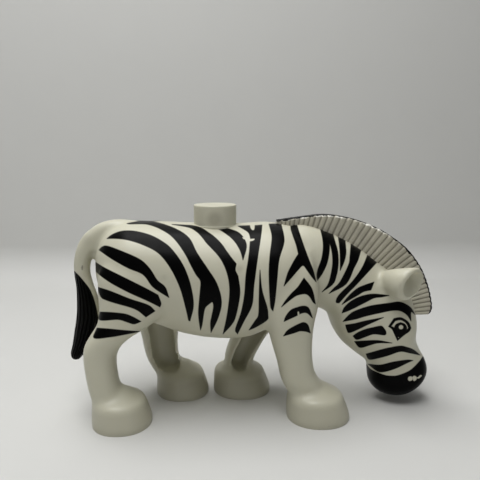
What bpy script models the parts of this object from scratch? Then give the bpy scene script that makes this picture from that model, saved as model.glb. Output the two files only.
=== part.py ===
"""Toy zebra figure: one moulding in hard white plastic, standing on four broad hooves.

Metres, +Z up. +X runs towards the head, -Y is the figure's right side. The origin is on the
ground under the middle of the figure. The animal is a free form, so its sections are drawn in
millimetres and scaled so that the drawing's length becomes FIGURE_LENGTH; the button on the
back, the hooves' spacing, the mane's plate and the hollows have sizes of their own.
"""
import math

import bmesh
import bpy
import numpy as np

# Driving sizes, in metres
FIGURE_LENGTH = 0.0828          # tip of the tail's tuft to the front edge of the mane
BUTTON_RADIUS = 0.0047          # round button on the back
BUTTON_HEIGHT = 0.0045
BUTTON_EDGE = 0.0003            # rounding of its top edge
HOOF_SPACING = 0.016            # middle of a left hoof to the middle of a right hoof
HOOF_HALF_WIDTH = 0.0074
HOOF_HEIGHT = 0.0052            # ground to the ledge around the pastern
RECESS_RADIUS = 0.0048          # round recess under each hoof
RECESS_DEPTH = 0.0012
LEG_THICKNESS = 0.0088          # across the figure
HOLLOW_WALL = 0.0014            # wall left at each side of the hollow in a leg's inner face
HOLLOW_DEPTH = 0.0058
MANE_THICKNESS = 0.0026
MANE_RIBS = 38
RIB_RELIEF = 0.00025
TAIL_HALF_WIDTH = 0.0022
EAR_CUP_DEPTH = 0.0036

# Fineness of the faceted solid
RING_POINTS = 28
STEPS_PER_SPAN = 5
VOXELS_ALONG = 180
SMOOTH_FACTOR = 0.5
SMOOTH_ROUNDS = 4
FACET_SHARE = 0.0314
BUTTON_SIDES = 56
EDGE_STEPS = 3                  # facets around a rounded edge
RIB_TRACE_STEPS = 24            # steps a span that the ribs are spaced along

# Colour and polish of the plastic
PLASTIC_COLOUR = (0.80, 0.78, 0.64, 1.0)
PLASTIC_ROUGHNESS = 0.35

# Place of the button on the drawing, and the height of the back under it
BUTTON_X = -9.3
BACK_HEIGHT = 41.6

# Sections across the animal, rump to chest: x, top, bottom, half width
BARREL = (
    (-35.4, 35.0, 31.4, 2.0),
    (-34.9, 36.8, 29.0, 4.8),
    (-33.7, 39.2, 25.8, 7.6),
    (-31.6, 41.3, 23.3, 9.8),
    (-28.4, 42.4, 21.6, 11.4),
    (-23.0, 42.4, 20.2, 12.2),
    (-17.0, 42.1, 18.2, 12.6),
    (-10.0, 41.8, 16.7, 12.7),
    (-3.0, 41.8, 16.8, 12.8),
    (2.0, 42.0, 18.6, 12.9),
    (6.0, 41.6, 20.4, 12.6),
    (8.6, 40.4, 22.2, 11.4),
    (10.6, 38.2, 24.0, 9.6),
    (12.0, 35.2, 26.2, 7.2),
    (12.8, 32.2, 28.6, 3.0),
)

# Sections fanned along the neck and head: upper x, z, lower x, z, half width
NECK_AND_HEAD = (
    (4.0, 40.4, 7.0, 25.4, 7.6),
    (9.8, 41.6, 12.2, 23.2, 8.3),
    (16.6, 39.5, 16.0, 21.4, 7.8),
    (22.4, 36.5, 17.6, 17.6, 7.3),
    (27.0, 33.1, 19.5, 14.6, 7.1),
    (31.2, 30.0, 21.8, 12.5, 7.3),
    (34.3, 26.9, 24.0, 10.8, 7.5),
    (35.9, 23.2, 25.5, 9.7, 7.4),
    (36.8, 19.4, 26.2, 8.4, 7.1),
    (36.8, 15.4, 26.4, 6.9, 6.6),
    (37.9, 12.5, 26.5, 5.0, 6.2),
    (39.2, 10.3, 27.3, 3.2, 6.4),
    (39.9, 7.9, 29.2, 1.9, 6.3),
    (39.1, 5.7, 32.1, 1.4, 5.0),
    (37.4, 4.0, 34.7, 2.0, 2.2),
)

# Sections along the tail and its tuft: outer x, z, inner x, z, share of the tail's half width
TAIL = (
    (-27.0, 42.7, -27.0, 39.0, 1.0),
    (-31.0, 42.95, -29.4, 40.4, 1.05),
    (-34.4, 42.2, -31.9, 39.4, 1.05),
    (-36.7, 40.8, -33.7, 37.9, 1.05),
    (-38.4, 39.2, -35.0, 36.3, 1.0),
    (-39.7, 36.7, -36.2, 34.9, 1.0),
    (-40.4, 33.6, -36.8, 33.0, 0.95),
    (-40.4, 31.0, -36.9, 31.0, 0.95),
    (-40.1, 28.0, -36.3, 28.4, 1.0),
    (-40.1, 25.0, -35.4, 25.4, 1.15),
    (-40.3, 21.5, -35.0, 21.8, 1.2),
    (-40.9, 18.1, -35.8, 18.3, 1.15),
    (-41.5, 14.8, -37.4, 15.0, 0.95),
    (-42.1, 12.5, -39.4, 12.0, 0.7),
    (-41.6, 11.2, -40.2, 11.1, 0.4),
)

# Sections down each leg: z, back, front, inner and outer side as shares of the leg's thickness,
# measured outwards from its inner face
NEAR_HIND_LEG = (
    (37.0, -31.0, -22.0, 0.1, 0.60),
    (33.0, -33.6, -18.0, 0.0, 0.95),
    (28.5, -33.9, -17.2, 0.0, 1.06),
    (25.0, -33.8, -19.4, 0.0, 1.08),
    (22.0, -34.3, -22.8, 0.0, 1.07),
    (19.4, -35.9, -27.0, 0.0, 1.05),
    (17.0, -37.2, -29.6, 0.0, 1.02),
    (14.0, -37.4, -30.7, 0.0, 1.0),
    (9.4, -36.9, -30.4, 0.0, 0.98),
    (6.6, -36.3, -29.6, 0.05, 0.97),
    (4.0, -35.6, -29.0, 0.15, 0.9),
)
FAR_HIND_LEG = (
    (37.0, -31.0, -22.0, 0.1, 0.60),
    (33.0, -33.0, -18.0, 0.0, 0.95),
    (28.5, -33.4, -16.6, 0.0, 1.06),
    (25.0, -32.2, -16.4, 0.0, 1.08),
    (21.5, -30.0, -17.0, 0.0, 1.06),
    (18.0, -28.0, -17.8, 0.0, 1.02),
    (14.3, -26.9, -18.2, 0.0, 1.0),
    (11.4, -26.4, -18.3, 0.0, 1.0),
    (8.8, -25.7, -18.0, 0.0, 0.98),
    (6.6, -24.7, -17.3, 0.05, 0.97),
    (4.0, -23.2, -16.4, 0.15, 0.9),
)
NEAR_FORE_LEG = (
    (37.0, 3.4, 11.0, 0.1, 0.60),
    (33.0, 2.0, 11.6, 0.0, 0.96),
    (28.5, 1.2, 12.4, 0.0, 1.08),
    (25.0, 0.9, 12.2, 0.0, 1.10),
    (22.0, 1.2, 11.6, 0.0, 1.08),
    (19.5, 1.8, 11.3, 0.0, 1.05),
    (16.0, 2.7, 11.2, 0.0, 1.0),
    (12.7, 3.7, 11.4, 0.0, 0.98),
    (10.0, 4.3, 12.0, 0.0, 0.97),
    (8.0, 4.9, 13.2, 0.05, 0.97),
    (4.0, 7.2, 14.2, 0.15, 0.9),
)
FAR_FORE_LEG = (
    (37.0, 2.4, 10.4, 0.1, 0.60),
    (33.0, 1.2, 11.4, 0.0, 0.96),
    (28.5, 0.0, 12.2, 0.0, 1.08),
    (25.0, -1.0, 11.4, 0.0, 1.10),
    (21.0, -2.2, 9.2, 0.0, 1.06),
    (17.5, -3.6, 6.0, 0.0, 1.03),
    (14.3, -4.9, 3.6, 0.0, 1.0),
    (11.3, -6.1, 1.7, 0.0, 0.98),
    (8.6, -6.9, 0.3, 0.0, 0.97),
    (7.0, -6.9, 0.0, 0.05, 0.97),
    (4.0, -6.4, 0.8, 0.15, 0.9),
)

# Each hoof on the drawing: the leg above it, its side, middle x and half length
LEGS = (
    (NEAR_HIND_LEG, -1, -29.8, 6.4),
    (FAR_HIND_LEG, 1, -17.2, 6.3),
    (NEAR_FORE_LEG, -1, 12.8, 6.9),
    (FAR_FORE_LEG, 1, -2.8, 6.9),
)

# Reach of the hollows in the legs, and the rounding of their ends
HOLLOW_TOP = 18.6
HOLLOW_FOOT = 5.8
HOLLOW_ROUNDING = 2.6
HOLLOW_END_SHARE = 0.2          # narrowing at the two ends

# Up a hoof: share of its height, share of its half sizes, shift of its middle as a share of
# its half length
HOOF_PROFILE = (
    (-0.25, 0.95, 0.0),
    (0.0, 0.99, 0.0),
    (0.14, 1.0, 0.0),
    (0.46, 0.955, -0.035),
    (0.8, 0.9, -0.08),
    (0.96, 0.87, -0.095),
    (1.05, 0.81, -0.105),
    (1.12, 0.71, -0.11),
    (1.21, 0.59, -0.11),
    (1.33, 0.43, -0.08),
    (1.46, 0.22, -0.02),
)

# Pairs across the mane's plate: outer x, z, inner x, z
MANE = (
    (4.4, 42.5, 4.8, 40.4),
    (9.7, 43.2, 9.0, 39.9),
    (14.6, 43.7, 12.9, 38.7),
    (18.8, 43.3, 16.2, 37.5),
    (23.5, 42.1, 19.8, 35.8),
    (28.1, 40.1, 23.2, 33.7),
    (32.8, 37.0, 26.6, 31.0),
    (35.3, 34.6, 28.5, 29.4),
    (37.5, 31.6, 30.4, 27.3),
    (38.8, 29.0, 31.6, 25.6),
    (39.8, 26.3, 32.8, 23.9),
    (40.5, 23.5, 33.6, 22.4),
    (40.7, 21.6, 34.1, 21.2),
    (40.5, 20.3, 34.4, 20.3),
)

# Widths of the mane's ribs against one another, by the share of the way along its outer edge
RIB_WIDTHS = (
    (0.0, 4.2),
    (0.15, 5.5),
    (0.3, 6.8),
    (0.6, 6.6),
    (0.8, 5.4),
    (1.0, 5.0),
)

# Along an ear, root to mouth: middle x, y, z, half height, half width, share of its mouth's lean
EAR = (
    (28.4, 3.6, 29.2, 2.4, 2.0, 0.0),
    (28.9, 5.4, 29.3, 3.0, 2.6, 0.3),
    (29.8, 7.0, 29.35, 3.5, 3.1, 0.6),
    (30.8, 8.2, 29.4, 3.8, 3.5, 0.85),
    (31.8, 9.1, 29.5, 3.95, 3.7, 1.0),
    (32.3, 9.6, 29.5, 3.95, 3.75, 1.0),
    (32.5, 9.85, 29.5, 3.5, 3.35, 1.0),
)

# The two ways across an ear's mouth: forwards, outwards, upwards
EAR_ACROSS = (0.72, -0.55, -0.42)
EAR_RISE = (0.49, -0.02, 0.87)

# Down the cup in an ear: share of its depth, share of the ear's own section
EAR_CUP = (
    (-0.5, 0.98),
    (0.0, 0.86),
    (0.3, 0.64),
    (0.65, 0.36),
    (1.0, 0.08),
)

# The drawing runs from the tip of the tuft to the front edge of the mane
TUFT_TIP = min(row[0] for row in TAIL)
MANE_FRONT = max(row[0] for row in MANE)
DRAWN_MIDDLE = (TUFT_TIP + MANE_FRONT) / 2
SCALE = FIGURE_LENGTH / (MANE_FRONT - TUFT_TIP)

BODY_POWER = 2.25               # squareness of the body's sections: 2 is an ellipse
LEG_POWER = 2.5
HOOF_POWER = 2.15


def drawn(points):
    """Points on the drawing, in its millimetres, as metres from the origin."""
    points = np.asarray(points, dtype=float)
    return (points - np.array([DRAWN_MIDDLE, 0.0, 0.0])) * SCALE


def through(rows, steps=STEPS_PER_SPAN):
    """Rows on smooth curves through the given ones, each span cut into the same steps."""
    rows = np.asarray(rows, dtype=float)
    padded = np.vstack([2 * rows[0] - rows[1], rows, 2 * rows[-1] - rows[-2]])
    result = []
    for before, start, end, after in zip(padded, padded[1:], padded[2:], padded[3:]):
        for step in range(steps):
            t = step / steps
            result.append(0.5 * (2 * start + (end - before) * t
                                 + (2 * before - 5 * start + 4 * end - after) * t ** 2
                                 + (3 * start - before - 3 * end + after) * t ** 3))
    result.append(rows[-1])
    return np.array(result)


def oval(middle, half_a, half_b, power):
    """Points of a rounded section from its middle and the vectors to its two sides."""
    angles = np.linspace(0.0, 2 * math.pi, RING_POINTS, endpoint=False)
    along = np.sign(np.cos(angles)) * np.abs(np.cos(angles)) ** (2 / power)
    across = np.sign(np.sin(angles)) * np.abs(np.sin(angles)) ** (2 / power)
    return (np.asarray(middle) + np.outer(along, half_a) + np.outer(across, half_b))


def skin(rings):
    """A closed mesh over a row of rings, with a rounded point at each end."""
    mesh = bmesh.new()
    rows = [[mesh.verts.new(point) for point in ring] for ring in rings]
    for row, following in zip(rows, rows[1:]):
        for index in range(len(row)):
            after = (index + 1) % len(row)
            mesh.faces.new((row[index], row[after], following[after], following[index]))
    for row in (rows[0], rows[-1]):
        middle = mesh.verts.new(np.mean([vertex.co for vertex in row], axis=0))
        for index in range(len(row)):
            mesh.faces.new((row[index], row[(index + 1) % len(row)], middle))
    bmesh.ops.recalc_face_normals(mesh, faces=mesh.faces)
    return mesh


def page_rings(rows, half_widths):
    """Rings that stand across the middle plane, each from its upper and its lower point."""
    rings = []
    for (upper_x, upper_z, lower_x, lower_z), half_width in zip(rows, half_widths):
        upper = drawn((upper_x, 0.0, upper_z))
        lower = drawn((lower_x, 0.0, lower_z))
        rings.append(oval((upper + lower) / 2, (0.0, half_width, 0.0), (upper - lower) / 2,
                          BODY_POWER))
    return rings


def barrel():
    rows = through(BARREL)
    pages = [(x, top, x, bottom) for x, top, bottom, _ in rows]
    return skin(page_rings(pages, rows[:, 3] * SCALE))


def neck_and_head():
    rows = through(NECK_AND_HEAD)
    return skin(page_rings(rows[:, :4], rows[:, 4] * SCALE))


def tail():
    rows = through(TAIL)
    return skin(page_rings(rows[:, :4], rows[:, 4] * TAIL_HALF_WIDTH))


def leg_inner_face():
    """Distance from the middle plane to the inner face of the legs."""
    return HOOF_SPACING / 2 - LEG_THICKNESS / 2


def leg_ring(row, side):
    z, back, front, inner, outer = row
    near = drawn((back, 0.0, z))
    far = drawn((front, 0.0, z))
    inner_y = leg_inner_face() + inner * LEG_THICKNESS
    outer_y = leg_inner_face() + outer * LEG_THICKNESS
    middle = (near + far) / 2 + np.array([0.0, side * (inner_y + outer_y) / 2, 0.0])
    return oval(middle, (far - near) / 2, (0.0, (outer_y - inner_y) / 2, 0.0), LEG_POWER)


def leg(rows, side):
    return skin([leg_ring(row, side) for row in through(rows)])


def hoof(side, middle_x, half_length):
    rings = []
    for height, share, shift in through(HOOF_PROFILE):
        middle = drawn((middle_x + shift * half_length, 0.0, 0.0))
        middle += np.array([0.0, side * HOOF_SPACING / 2, height * HOOF_HEIGHT])
        rings.append(oval(middle, (half_length * SCALE * share, 0.0, 0.0),
                          (0.0, HOOF_HALF_WIDTH * share, 0.0), HOOF_POWER))
    return skin(rings)


def ear_ring(row, side, share=1.0):
    x, y, z, half_height, half_width, lean = row
    mirror = np.array([1.0, side, 1.0])
    tall = EAR_RISE * mirror * np.array([lean, lean, 1.0]) * half_height * SCALE * share
    wide = EAR_ACROSS * mirror * half_width * SCALE * share
    return oval(drawn((x, side * y, z)), tall, wide, 2.0)


def ear(side):
    return skin([ear_ring(row, side) for row in through(EAR)])


def ear_cup(side):
    """The hollow of an ear, from past its mouth down to its depth."""
    mouth = np.array(EAR[-1])
    inwards = (np.array(EAR[0]) - mouth)[:3]
    inwards /= np.linalg.norm(inwards)
    rings = []
    for depth_share, share in EAR_CUP:
        row = mouth.copy()
        row[:3] += inwards * depth_share * EAR_CUP_DEPTH / SCALE
        rings.append(ear_ring(row, side, share))
    return skin(rings)


def leg_hollow(rows, side):
    """The hollow in a leg's inner face: it keeps a wall at each side and a rounded top and foot."""
    reach = leg_inner_face() + HOLLOW_DEPTH
    rings = []
    for z, back, front, _, _ in through(rows):
        if not HOLLOW_FOOT <= z <= HOLLOW_TOP:
            continue
        rise = min(HOLLOW_ROUNDING, HOLLOW_TOP - z, z - HOLLOW_FOOT) / HOLLOW_ROUNDING
        share = max(HOLLOW_END_SHARE, math.sqrt(1.0 - (1.0 - rise) ** 2))
        near = drawn((back, 0.0, z))
        far = drawn((front, 0.0, z))
        half = ((far[0] - near[0]) / 2 - HOLLOW_WALL) * share
        rings.append(oval((near + far) / 2, (half, 0.0, 0.0), (0.0, side * reach, 0.0),
                          LEG_POWER))
    return skin(rings)


def cylinder(radius, low, high, middle, edge=0.0):
    """A round solid about a vertical axis, its upper edge rounded off where an edge is given."""
    profile = [(radius, low)]
    for step in range(EDGE_STEPS + 1 if edge else 1):
        turn = math.pi / 2 * step / EDGE_STEPS
        profile.append((radius - edge * (1 - math.cos(turn)), high - edge * (1 - math.sin(turn))))
    mesh = bmesh.new()
    angles = np.linspace(0.0, 2 * math.pi, BUTTON_SIDES, endpoint=False)
    rows = []
    for ring_radius, height in profile:
        rows.append([mesh.verts.new((middle[0] + ring_radius * math.cos(angle),
                                     middle[1] + ring_radius * math.sin(angle), height))
                     for angle in angles])
    for row, following in zip(rows, rows[1:]):
        for index in range(BUTTON_SIDES):
            after = (index + 1) % BUTTON_SIDES
            mesh.faces.new((row[index], row[after], following[after], following[index]))
    mesh.faces.new(rows[-1])
    mesh.faces.new(rows[0][::-1])
    bmesh.ops.recalc_face_normals(mesh, faces=mesh.faces)
    return mesh


def mane():
    """The upright plate of the mane, its two faces ribbed from the neck to its outer edge."""
    fine = through(MANE, RIB_TRACE_STEPS)
    steps = np.linalg.norm(np.diff(fine[:, :2], axis=0), axis=1)
    travel = np.cumsum(steps)
    widths = np.interp(travel / travel[-1], *np.transpose(RIB_WIDTHS))
    ribs = np.concatenate([[0.0], np.cumsum(steps / widths)])
    stations = np.linspace(0.0, ribs[-1], 2 * MANE_RIBS + 1)
    pairs = np.stack([np.interp(stations, ribs, fine[:, column]) for column in range(4)], axis=1)
    mesh = bmesh.new()
    rows = []
    for index, (outer_x, outer_z, inner_x, inner_z) in enumerate(pairs):
        half = MANE_THICKNESS / 2 - (RIB_RELIEF if index % 2 == 0 else 0.0)
        outer = drawn((outer_x, 0.0, outer_z))
        inner = drawn((inner_x, 0.0, inner_z))
        aside = np.array([0.0, half, 0.0])
        rows.append([mesh.verts.new(point) for point in
                     (inner - aside, outer - aside, outer + aside, inner + aside)])
    for row, following in zip(rows, rows[1:]):
        for index in range(4):
            after = (index + 1) % 4
            mesh.faces.new((row[index], row[after], following[after], following[index]))
    mesh.faces.new(rows[0])
    mesh.faces.new(rows[-1][::-1])
    bmesh.ops.recalc_face_normals(mesh, faces=mesh.faces)
    return mesh


def white_plastic():
    material = bpy.data.materials.new("white_plastic")
    material.use_nodes = True
    shader = material.node_tree.nodes["Principled BSDF"]
    shader.inputs["Base Color"].default_value = PLASTIC_COLOUR
    shader.inputs["Roughness"].default_value = PLASTIC_ROUGHNESS
    shader.inputs["Metallic"].default_value = 0.0
    return material


def placed(name, meshes, guide=False):
    """One object from several closed meshes."""
    merged = bpy.data.meshes.new(name)
    whole = bmesh.new()
    for mesh in meshes:
        part = bpy.data.meshes.new("part")
        mesh.to_mesh(part)
        mesh.free()
        whole.from_mesh(part)
        bpy.data.meshes.remove(part)
    whole.to_mesh(merged)
    whole.free()
    item = bpy.data.objects.new(name, merged)
    bpy.context.scene.collection.objects.link(item)
    if guide:
        item.hide_render = True
        item.display_type = "WIRE"
    return item


def add_boolean(item, name, operation, other):
    step = item.modifiers.new(name, "BOOLEAN")
    step.operation = operation
    step.solver = "EXACT"
    step.object = other
    step.use_self = False


def ground_cutter():
    """Everything just below the ground, which cuts the soles flat."""
    half = FIGURE_LENGTH
    mesh = bmesh.new()
    bmesh.ops.create_cube(mesh, size=2 * half)
    bmesh.ops.translate(mesh, verts=mesh.verts, vec=(0.0, 0.0, -half))
    return mesh


def main():
    for item in list(bpy.data.objects):
        bpy.data.objects.remove(item, do_unlink=True)

    forms = [barrel(), neck_and_head(), tail(), ear(-1), ear(1)]
    for rows, side, middle_x, half_length in LEGS:
        forms.append(leg(rows, side))
        forms.append(hoof(side, middle_x, half_length))
    figure = placed("zebra_figure", forms)
    figure.data.materials.append(white_plastic())

    blend = figure.modifiers.new("blend", "REMESH")
    blend.mode = "VOXEL"
    blend.voxel_size = FIGURE_LENGTH / VOXELS_ALONG
    blend.use_smooth_shade = True
    soften = figure.modifiers.new("soften", "SMOOTH")
    soften.factor = SMOOTH_FACTOR
    soften.iterations = SMOOTH_ROUNDS
    facets = figure.modifiers.new("facets", "DECIMATE")
    facets.ratio = FACET_SHARE

    button_x = drawn((BUTTON_X, 0.0, 0.0))[0]
    back_height = drawn((0.0, 0.0, BACK_HEIGHT))[2]
    button = placed("button", [cylinder(BUTTON_RADIUS, back_height - BUTTON_HEIGHT,
                                        back_height + BUTTON_HEIGHT, (button_x, 0.0),
                                        BUTTON_EDGE)], guide=True)
    plate = placed("mane_plate", [mane()], guide=True)
    cups = placed("ear_cups", [ear_cup(-1), ear_cup(1)], guide=True)
    hollows = placed("leg_hollows", [leg_hollow(rows, side) for rows, side, _, _ in LEGS],
                     guide=True)
    ground = placed("ground", [ground_cutter()], guide=True)
    recesses = []
    for _, side, middle_x, _ in LEGS:
        middle = (drawn((middle_x, 0.0, 0.0))[0], side * HOOF_SPACING / 2)
        recesses.append(cylinder(RECESS_RADIUS, -RECESS_DEPTH, RECESS_DEPTH, middle))
    recesses = placed("hoof_recesses", recesses, guide=True)

    add_boolean(figure, "flat_soles", "DIFFERENCE", ground)
    add_boolean(figure, "add_button", "UNION", button)
    add_boolean(figure, "add_mane", "UNION", plate)
    add_boolean(figure, "cup_ears", "DIFFERENCE", cups)
    add_boolean(figure, "hollow_legs", "DIFFERENCE", hollows)
    add_boolean(figure, "recess_hooves", "DIFFERENCE", recesses)


main()
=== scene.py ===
"""A toy zebra, grazing: one moulding in off-white plastic with printed black stripes.

The figure is built again from the sections of its model, finer, and painted as in the
photograph. Metres, +Z up, +X towards the head, -Y on the side that the photograph shows.
"""
import logging
import math
from dataclasses import dataclass
from enum import Enum
from typing import ClassVar

import bmesh
import bpy
import numpy as np
from mathutils import Euler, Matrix
from numpy.typing import ArrayLike


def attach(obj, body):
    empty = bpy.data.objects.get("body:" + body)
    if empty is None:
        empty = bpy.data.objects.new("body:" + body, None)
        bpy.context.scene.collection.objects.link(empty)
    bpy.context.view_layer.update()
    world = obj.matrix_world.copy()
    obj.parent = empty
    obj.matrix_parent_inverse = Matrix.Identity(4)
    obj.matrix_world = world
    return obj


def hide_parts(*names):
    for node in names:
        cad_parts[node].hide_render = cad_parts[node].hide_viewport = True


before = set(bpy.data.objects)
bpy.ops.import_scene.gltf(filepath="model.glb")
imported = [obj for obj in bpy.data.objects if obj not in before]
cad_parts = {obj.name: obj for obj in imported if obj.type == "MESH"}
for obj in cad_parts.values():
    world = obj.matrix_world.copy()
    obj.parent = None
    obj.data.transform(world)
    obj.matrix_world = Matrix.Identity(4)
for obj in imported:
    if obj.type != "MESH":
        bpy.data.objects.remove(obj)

LOG = logging.getLogger("zebra")
NODE = "zebra_figure"

SPAN_STEPS = 8
RING_POINTS = 72
ELLIPSE = 2.0
MILLIMETRES = 1000.0

Point = tuple[float, float]
Place = tuple[float, float, float]
Colour = tuple[float, float, float, float]
Row = tuple[float, ...]
Run = tuple[Point, ...]
Socket = bpy.types.NodeSocket
Form = bmesh.types.BMesh


class Side(Enum):
    """The two sides of the figure; its right side is the one photographed."""

    RIGHT = -1
    LEFT = 1


class Paint(Enum):
    """What a painted outline does to the plastic under it."""

    BLACK = "black"
    BARE = "bare"


def through(rows: ArrayLike, steps: int = SPAN_STEPS) -> np.ndarray:
    """Draws smooth curves through rows of numbers.

    Args:
        rows: the given rows, one point or section each.
        steps: the number of steps in each span.

    Returns:
        The finer rows, the given ones among them.
    """
    rows = np.asarray(rows, dtype=float)
    padded = np.vstack([2 * rows[0] - rows[1], rows, 2 * rows[-1] - rows[-2]])
    result = []
    for before, start, end, after in zip(padded, padded[1:], padded[2:], padded[3:]):
        for step in range(steps):
            t = step / steps
            result.append(0.5 * (2 * start + (end - before) * t
                                 + (2 * before - 5 * start + 4 * end - after) * t ** 2
                                 + (3 * start - before - 3 * end + after) * t ** 3))
    result.append(rows[-1])
    return np.array(result)


def quarter(radius: float, steps: int) -> list[Point]:
    """Walks along a quarter of a circle.

    Args:
        radius: the circle's radius.
        steps: the number of steps.

    Returns:
        How far each step has come onwards, and how far aside.
    """
    turns = [math.radians(90.0 * step / steps) for step in range(steps + 1)]
    return [(radius * math.sin(turn), radius * (1 - math.cos(turn))) for turn in turns]


def oval(middle: ArrayLike, half_a: ArrayLike, half_b: ArrayLike, power: float = ELLIPSE,
         points: int = RING_POINTS) -> np.ndarray:
    """Draws a rounded section.

    Args:
        middle: its middle.
        half_a: vector from the middle to one side.
        half_b: vector from the middle to the other side.
        power: squareness, 2 for an ellipse.
        points: number of points.

    Returns:
        Its points in order.
    """
    angles = np.linspace(0.0, 2 * math.pi, points, endpoint=False)
    along = np.sign(np.cos(angles)) * np.abs(np.cos(angles)) ** (2 / power)
    across = np.sign(np.sin(angles)) * np.abs(np.sin(angles)) ** (2 / power)
    return np.asarray(middle) + np.outer(along, half_a) + np.outer(across, half_b)


def skin(rings: list[np.ndarray]) -> Form:
    """Covers a row of rings.

    Args:
        rings: the rings, each with as many points as the others.

    Returns:
        A closed form.
    """
    mesh = bmesh.new()
    rows = [[mesh.verts.new(point) for point in ring] for ring in rings]
    for row, following in zip(rows, rows[1:]):
        for index in range(len(row)):
            after = (index + 1) % len(row)
            mesh.faces.new((row[index], row[after], following[after], following[index]))
    for row in (rows[0], rows[-1]):
        middle = mesh.verts.new(np.mean([vertex.co for vertex in row], axis=0))
        for index in range(len(row)):
            mesh.faces.new((row[index], row[(index + 1) % len(row)], middle))
    bmesh.ops.recalc_face_normals(mesh, faces=mesh.faces)
    return mesh


def linked(name: str, data: bpy.types.ID) -> bpy.types.Object:
    """Puts a mesh, lamp or camera into the scene.

    Args:
        name: the object's name.
        data: what it shows.

    Returns:
        The object.
    """
    item = bpy.data.objects.new(name, data)
    bpy.context.scene.collection.objects.link(item)
    return item


def smoothed(mesh: bpy.types.Mesh, hard_degrees: float) -> None:
    """Shades a mesh smooth, but for edges that turn by more than hard_degrees."""
    mesh.polygons.foreach_set("use_smooth", [True] * len(mesh.polygons))
    mesh.set_sharp_from_angle(angle=math.radians(hard_degrees))


def keep_number(item: bpy.types.Object, name: str, values: ArrayLike) -> None:
    """Stores a number at each point of an object's mesh, for its finish to read."""
    layer = item.data.attributes.new(name, "FLOAT", "POINT")
    layer.data.foreach_set("value", np.asarray(values, dtype=np.float32))


def placed(name: str, meshes: list[Form]) -> bpy.types.Object:
    """Puts closed forms into the scene as one object.

    Args:
        name: the object's name.
        meshes: the forms, which are used up.

    Returns:
        The object.
    """
    whole = bmesh.new()
    for mesh in meshes:
        part = bpy.data.meshes.new("part")
        mesh.to_mesh(part)
        mesh.free()
        whole.from_mesh(part)
        bpy.data.meshes.remove(part)
    merged = bpy.data.meshes.new(name)
    whole.to_mesh(merged)
    whole.free()
    return linked(name, merged)


@dataclass(frozen=True)
class Drawing:
    """The sheet that the sections are drawn on, in millimetres.

    Its x runs from the tip of the tail's tuft to the front of the mane, and becomes the
    figure's own length.
    """

    length: float = 0.0828
    first: float = -42.1
    last: float = 40.7

    @property
    def scale(self) -> float:
        """Metres for a unit on the drawing."""
        return self.length / (self.last - self.first)

    def place(self, points: ArrayLike) -> np.ndarray:
        """Points on the drawing as metres from the figure's origin."""
        middle = np.array([(self.first + self.last) / 2, 0.0, 0.0])
        return (np.asarray(points, dtype=float) - middle) * self.scale


DRAWING = Drawing()


def standing_rings(pages: ArrayLike, half_widths: ArrayLike,
                   power: float) -> list[np.ndarray]:
    """Draws rings that stand across the middle plane.

    Args:
        pages: upper x, z and lower x, z of each ring, on the drawing.
        half_widths: half width of each ring, in metres.
        power: squareness of the rings.

    Returns:
        The rings.
    """
    rings = []
    for (upper_x, upper_z, lower_x, lower_z), half_width in zip(pages, half_widths):
        upper = DRAWING.place((upper_x, 0.0, upper_z))
        lower = DRAWING.place((lower_x, 0.0, lower_z))
        rings.append(oval((upper + lower) / 2, (0.0, half_width, 0.0), (upper - lower) / 2,
                          power))
    return rings


@dataclass(frozen=True)
class Viewpoint:
    """Where the photograph was taken from."""

    location: Place = (-0.0122, -0.1269, 0.0573)
    down_degrees: float = 8.6
    turn_degrees: float = 4.11
    lens: float = 43.215
    sensor: float = 36.0
    picture: float = 480.0
    clip: Point = (0.005, 10.0)

    @property
    def rotation(self) -> Euler:
        """The camera's rotation."""
        return Euler((math.radians(90.0 - self.down_degrees), 0.0,
                      -math.radians(self.turn_degrees)))

    @property
    def focal(self) -> float:
        """The lens in pixels of the picture."""
        return self.lens / self.sensor * self.picture

    @property
    def pixels_per_metre(self) -> float:
        """Pixels that a metre takes at the figure's middle."""
        return self.focal / -self.location[1]

    def project(self, points: np.ndarray) -> np.ndarray:
        """Finds where points fall in the picture.

        Args:
            points: the points, in metres.

        Returns:
            Their pixels from the picture's upper left corner.
        """
        axes = np.array(self.rotation.to_matrix())
        local = (points - np.array(self.location)) @ axes
        across = self.picture / 2 + self.focal * local[:, 0] / -local[:, 2]
        down = self.picture / 2 - self.focal * local[:, 1] / -local[:, 2]
        return np.stack([across, down], axis=1)

    def build(self) -> None:
        """Sets up the scene's camera."""
        data = bpy.data.cameras.new("photograph")
        data.lens = self.lens
        data.sensor_width = self.sensor
        data.clip_start, data.clip_end = self.clip
        item = linked("photograph", data)
        item.location = self.location
        item.rotation_euler = self.rotation
        bpy.context.scene.camera = item


VIEW = Viewpoint()


@dataclass(frozen=True)
class Grain:
    """A number that wanders over the surface with fixed noise.

    scale is the noise's fineness and detail its octaves. Where the noise goes from low to
    high, the number goes from start to end.
    """

    scale: float
    detail: float
    low: float
    high: float
    start: float
    end: float


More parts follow.
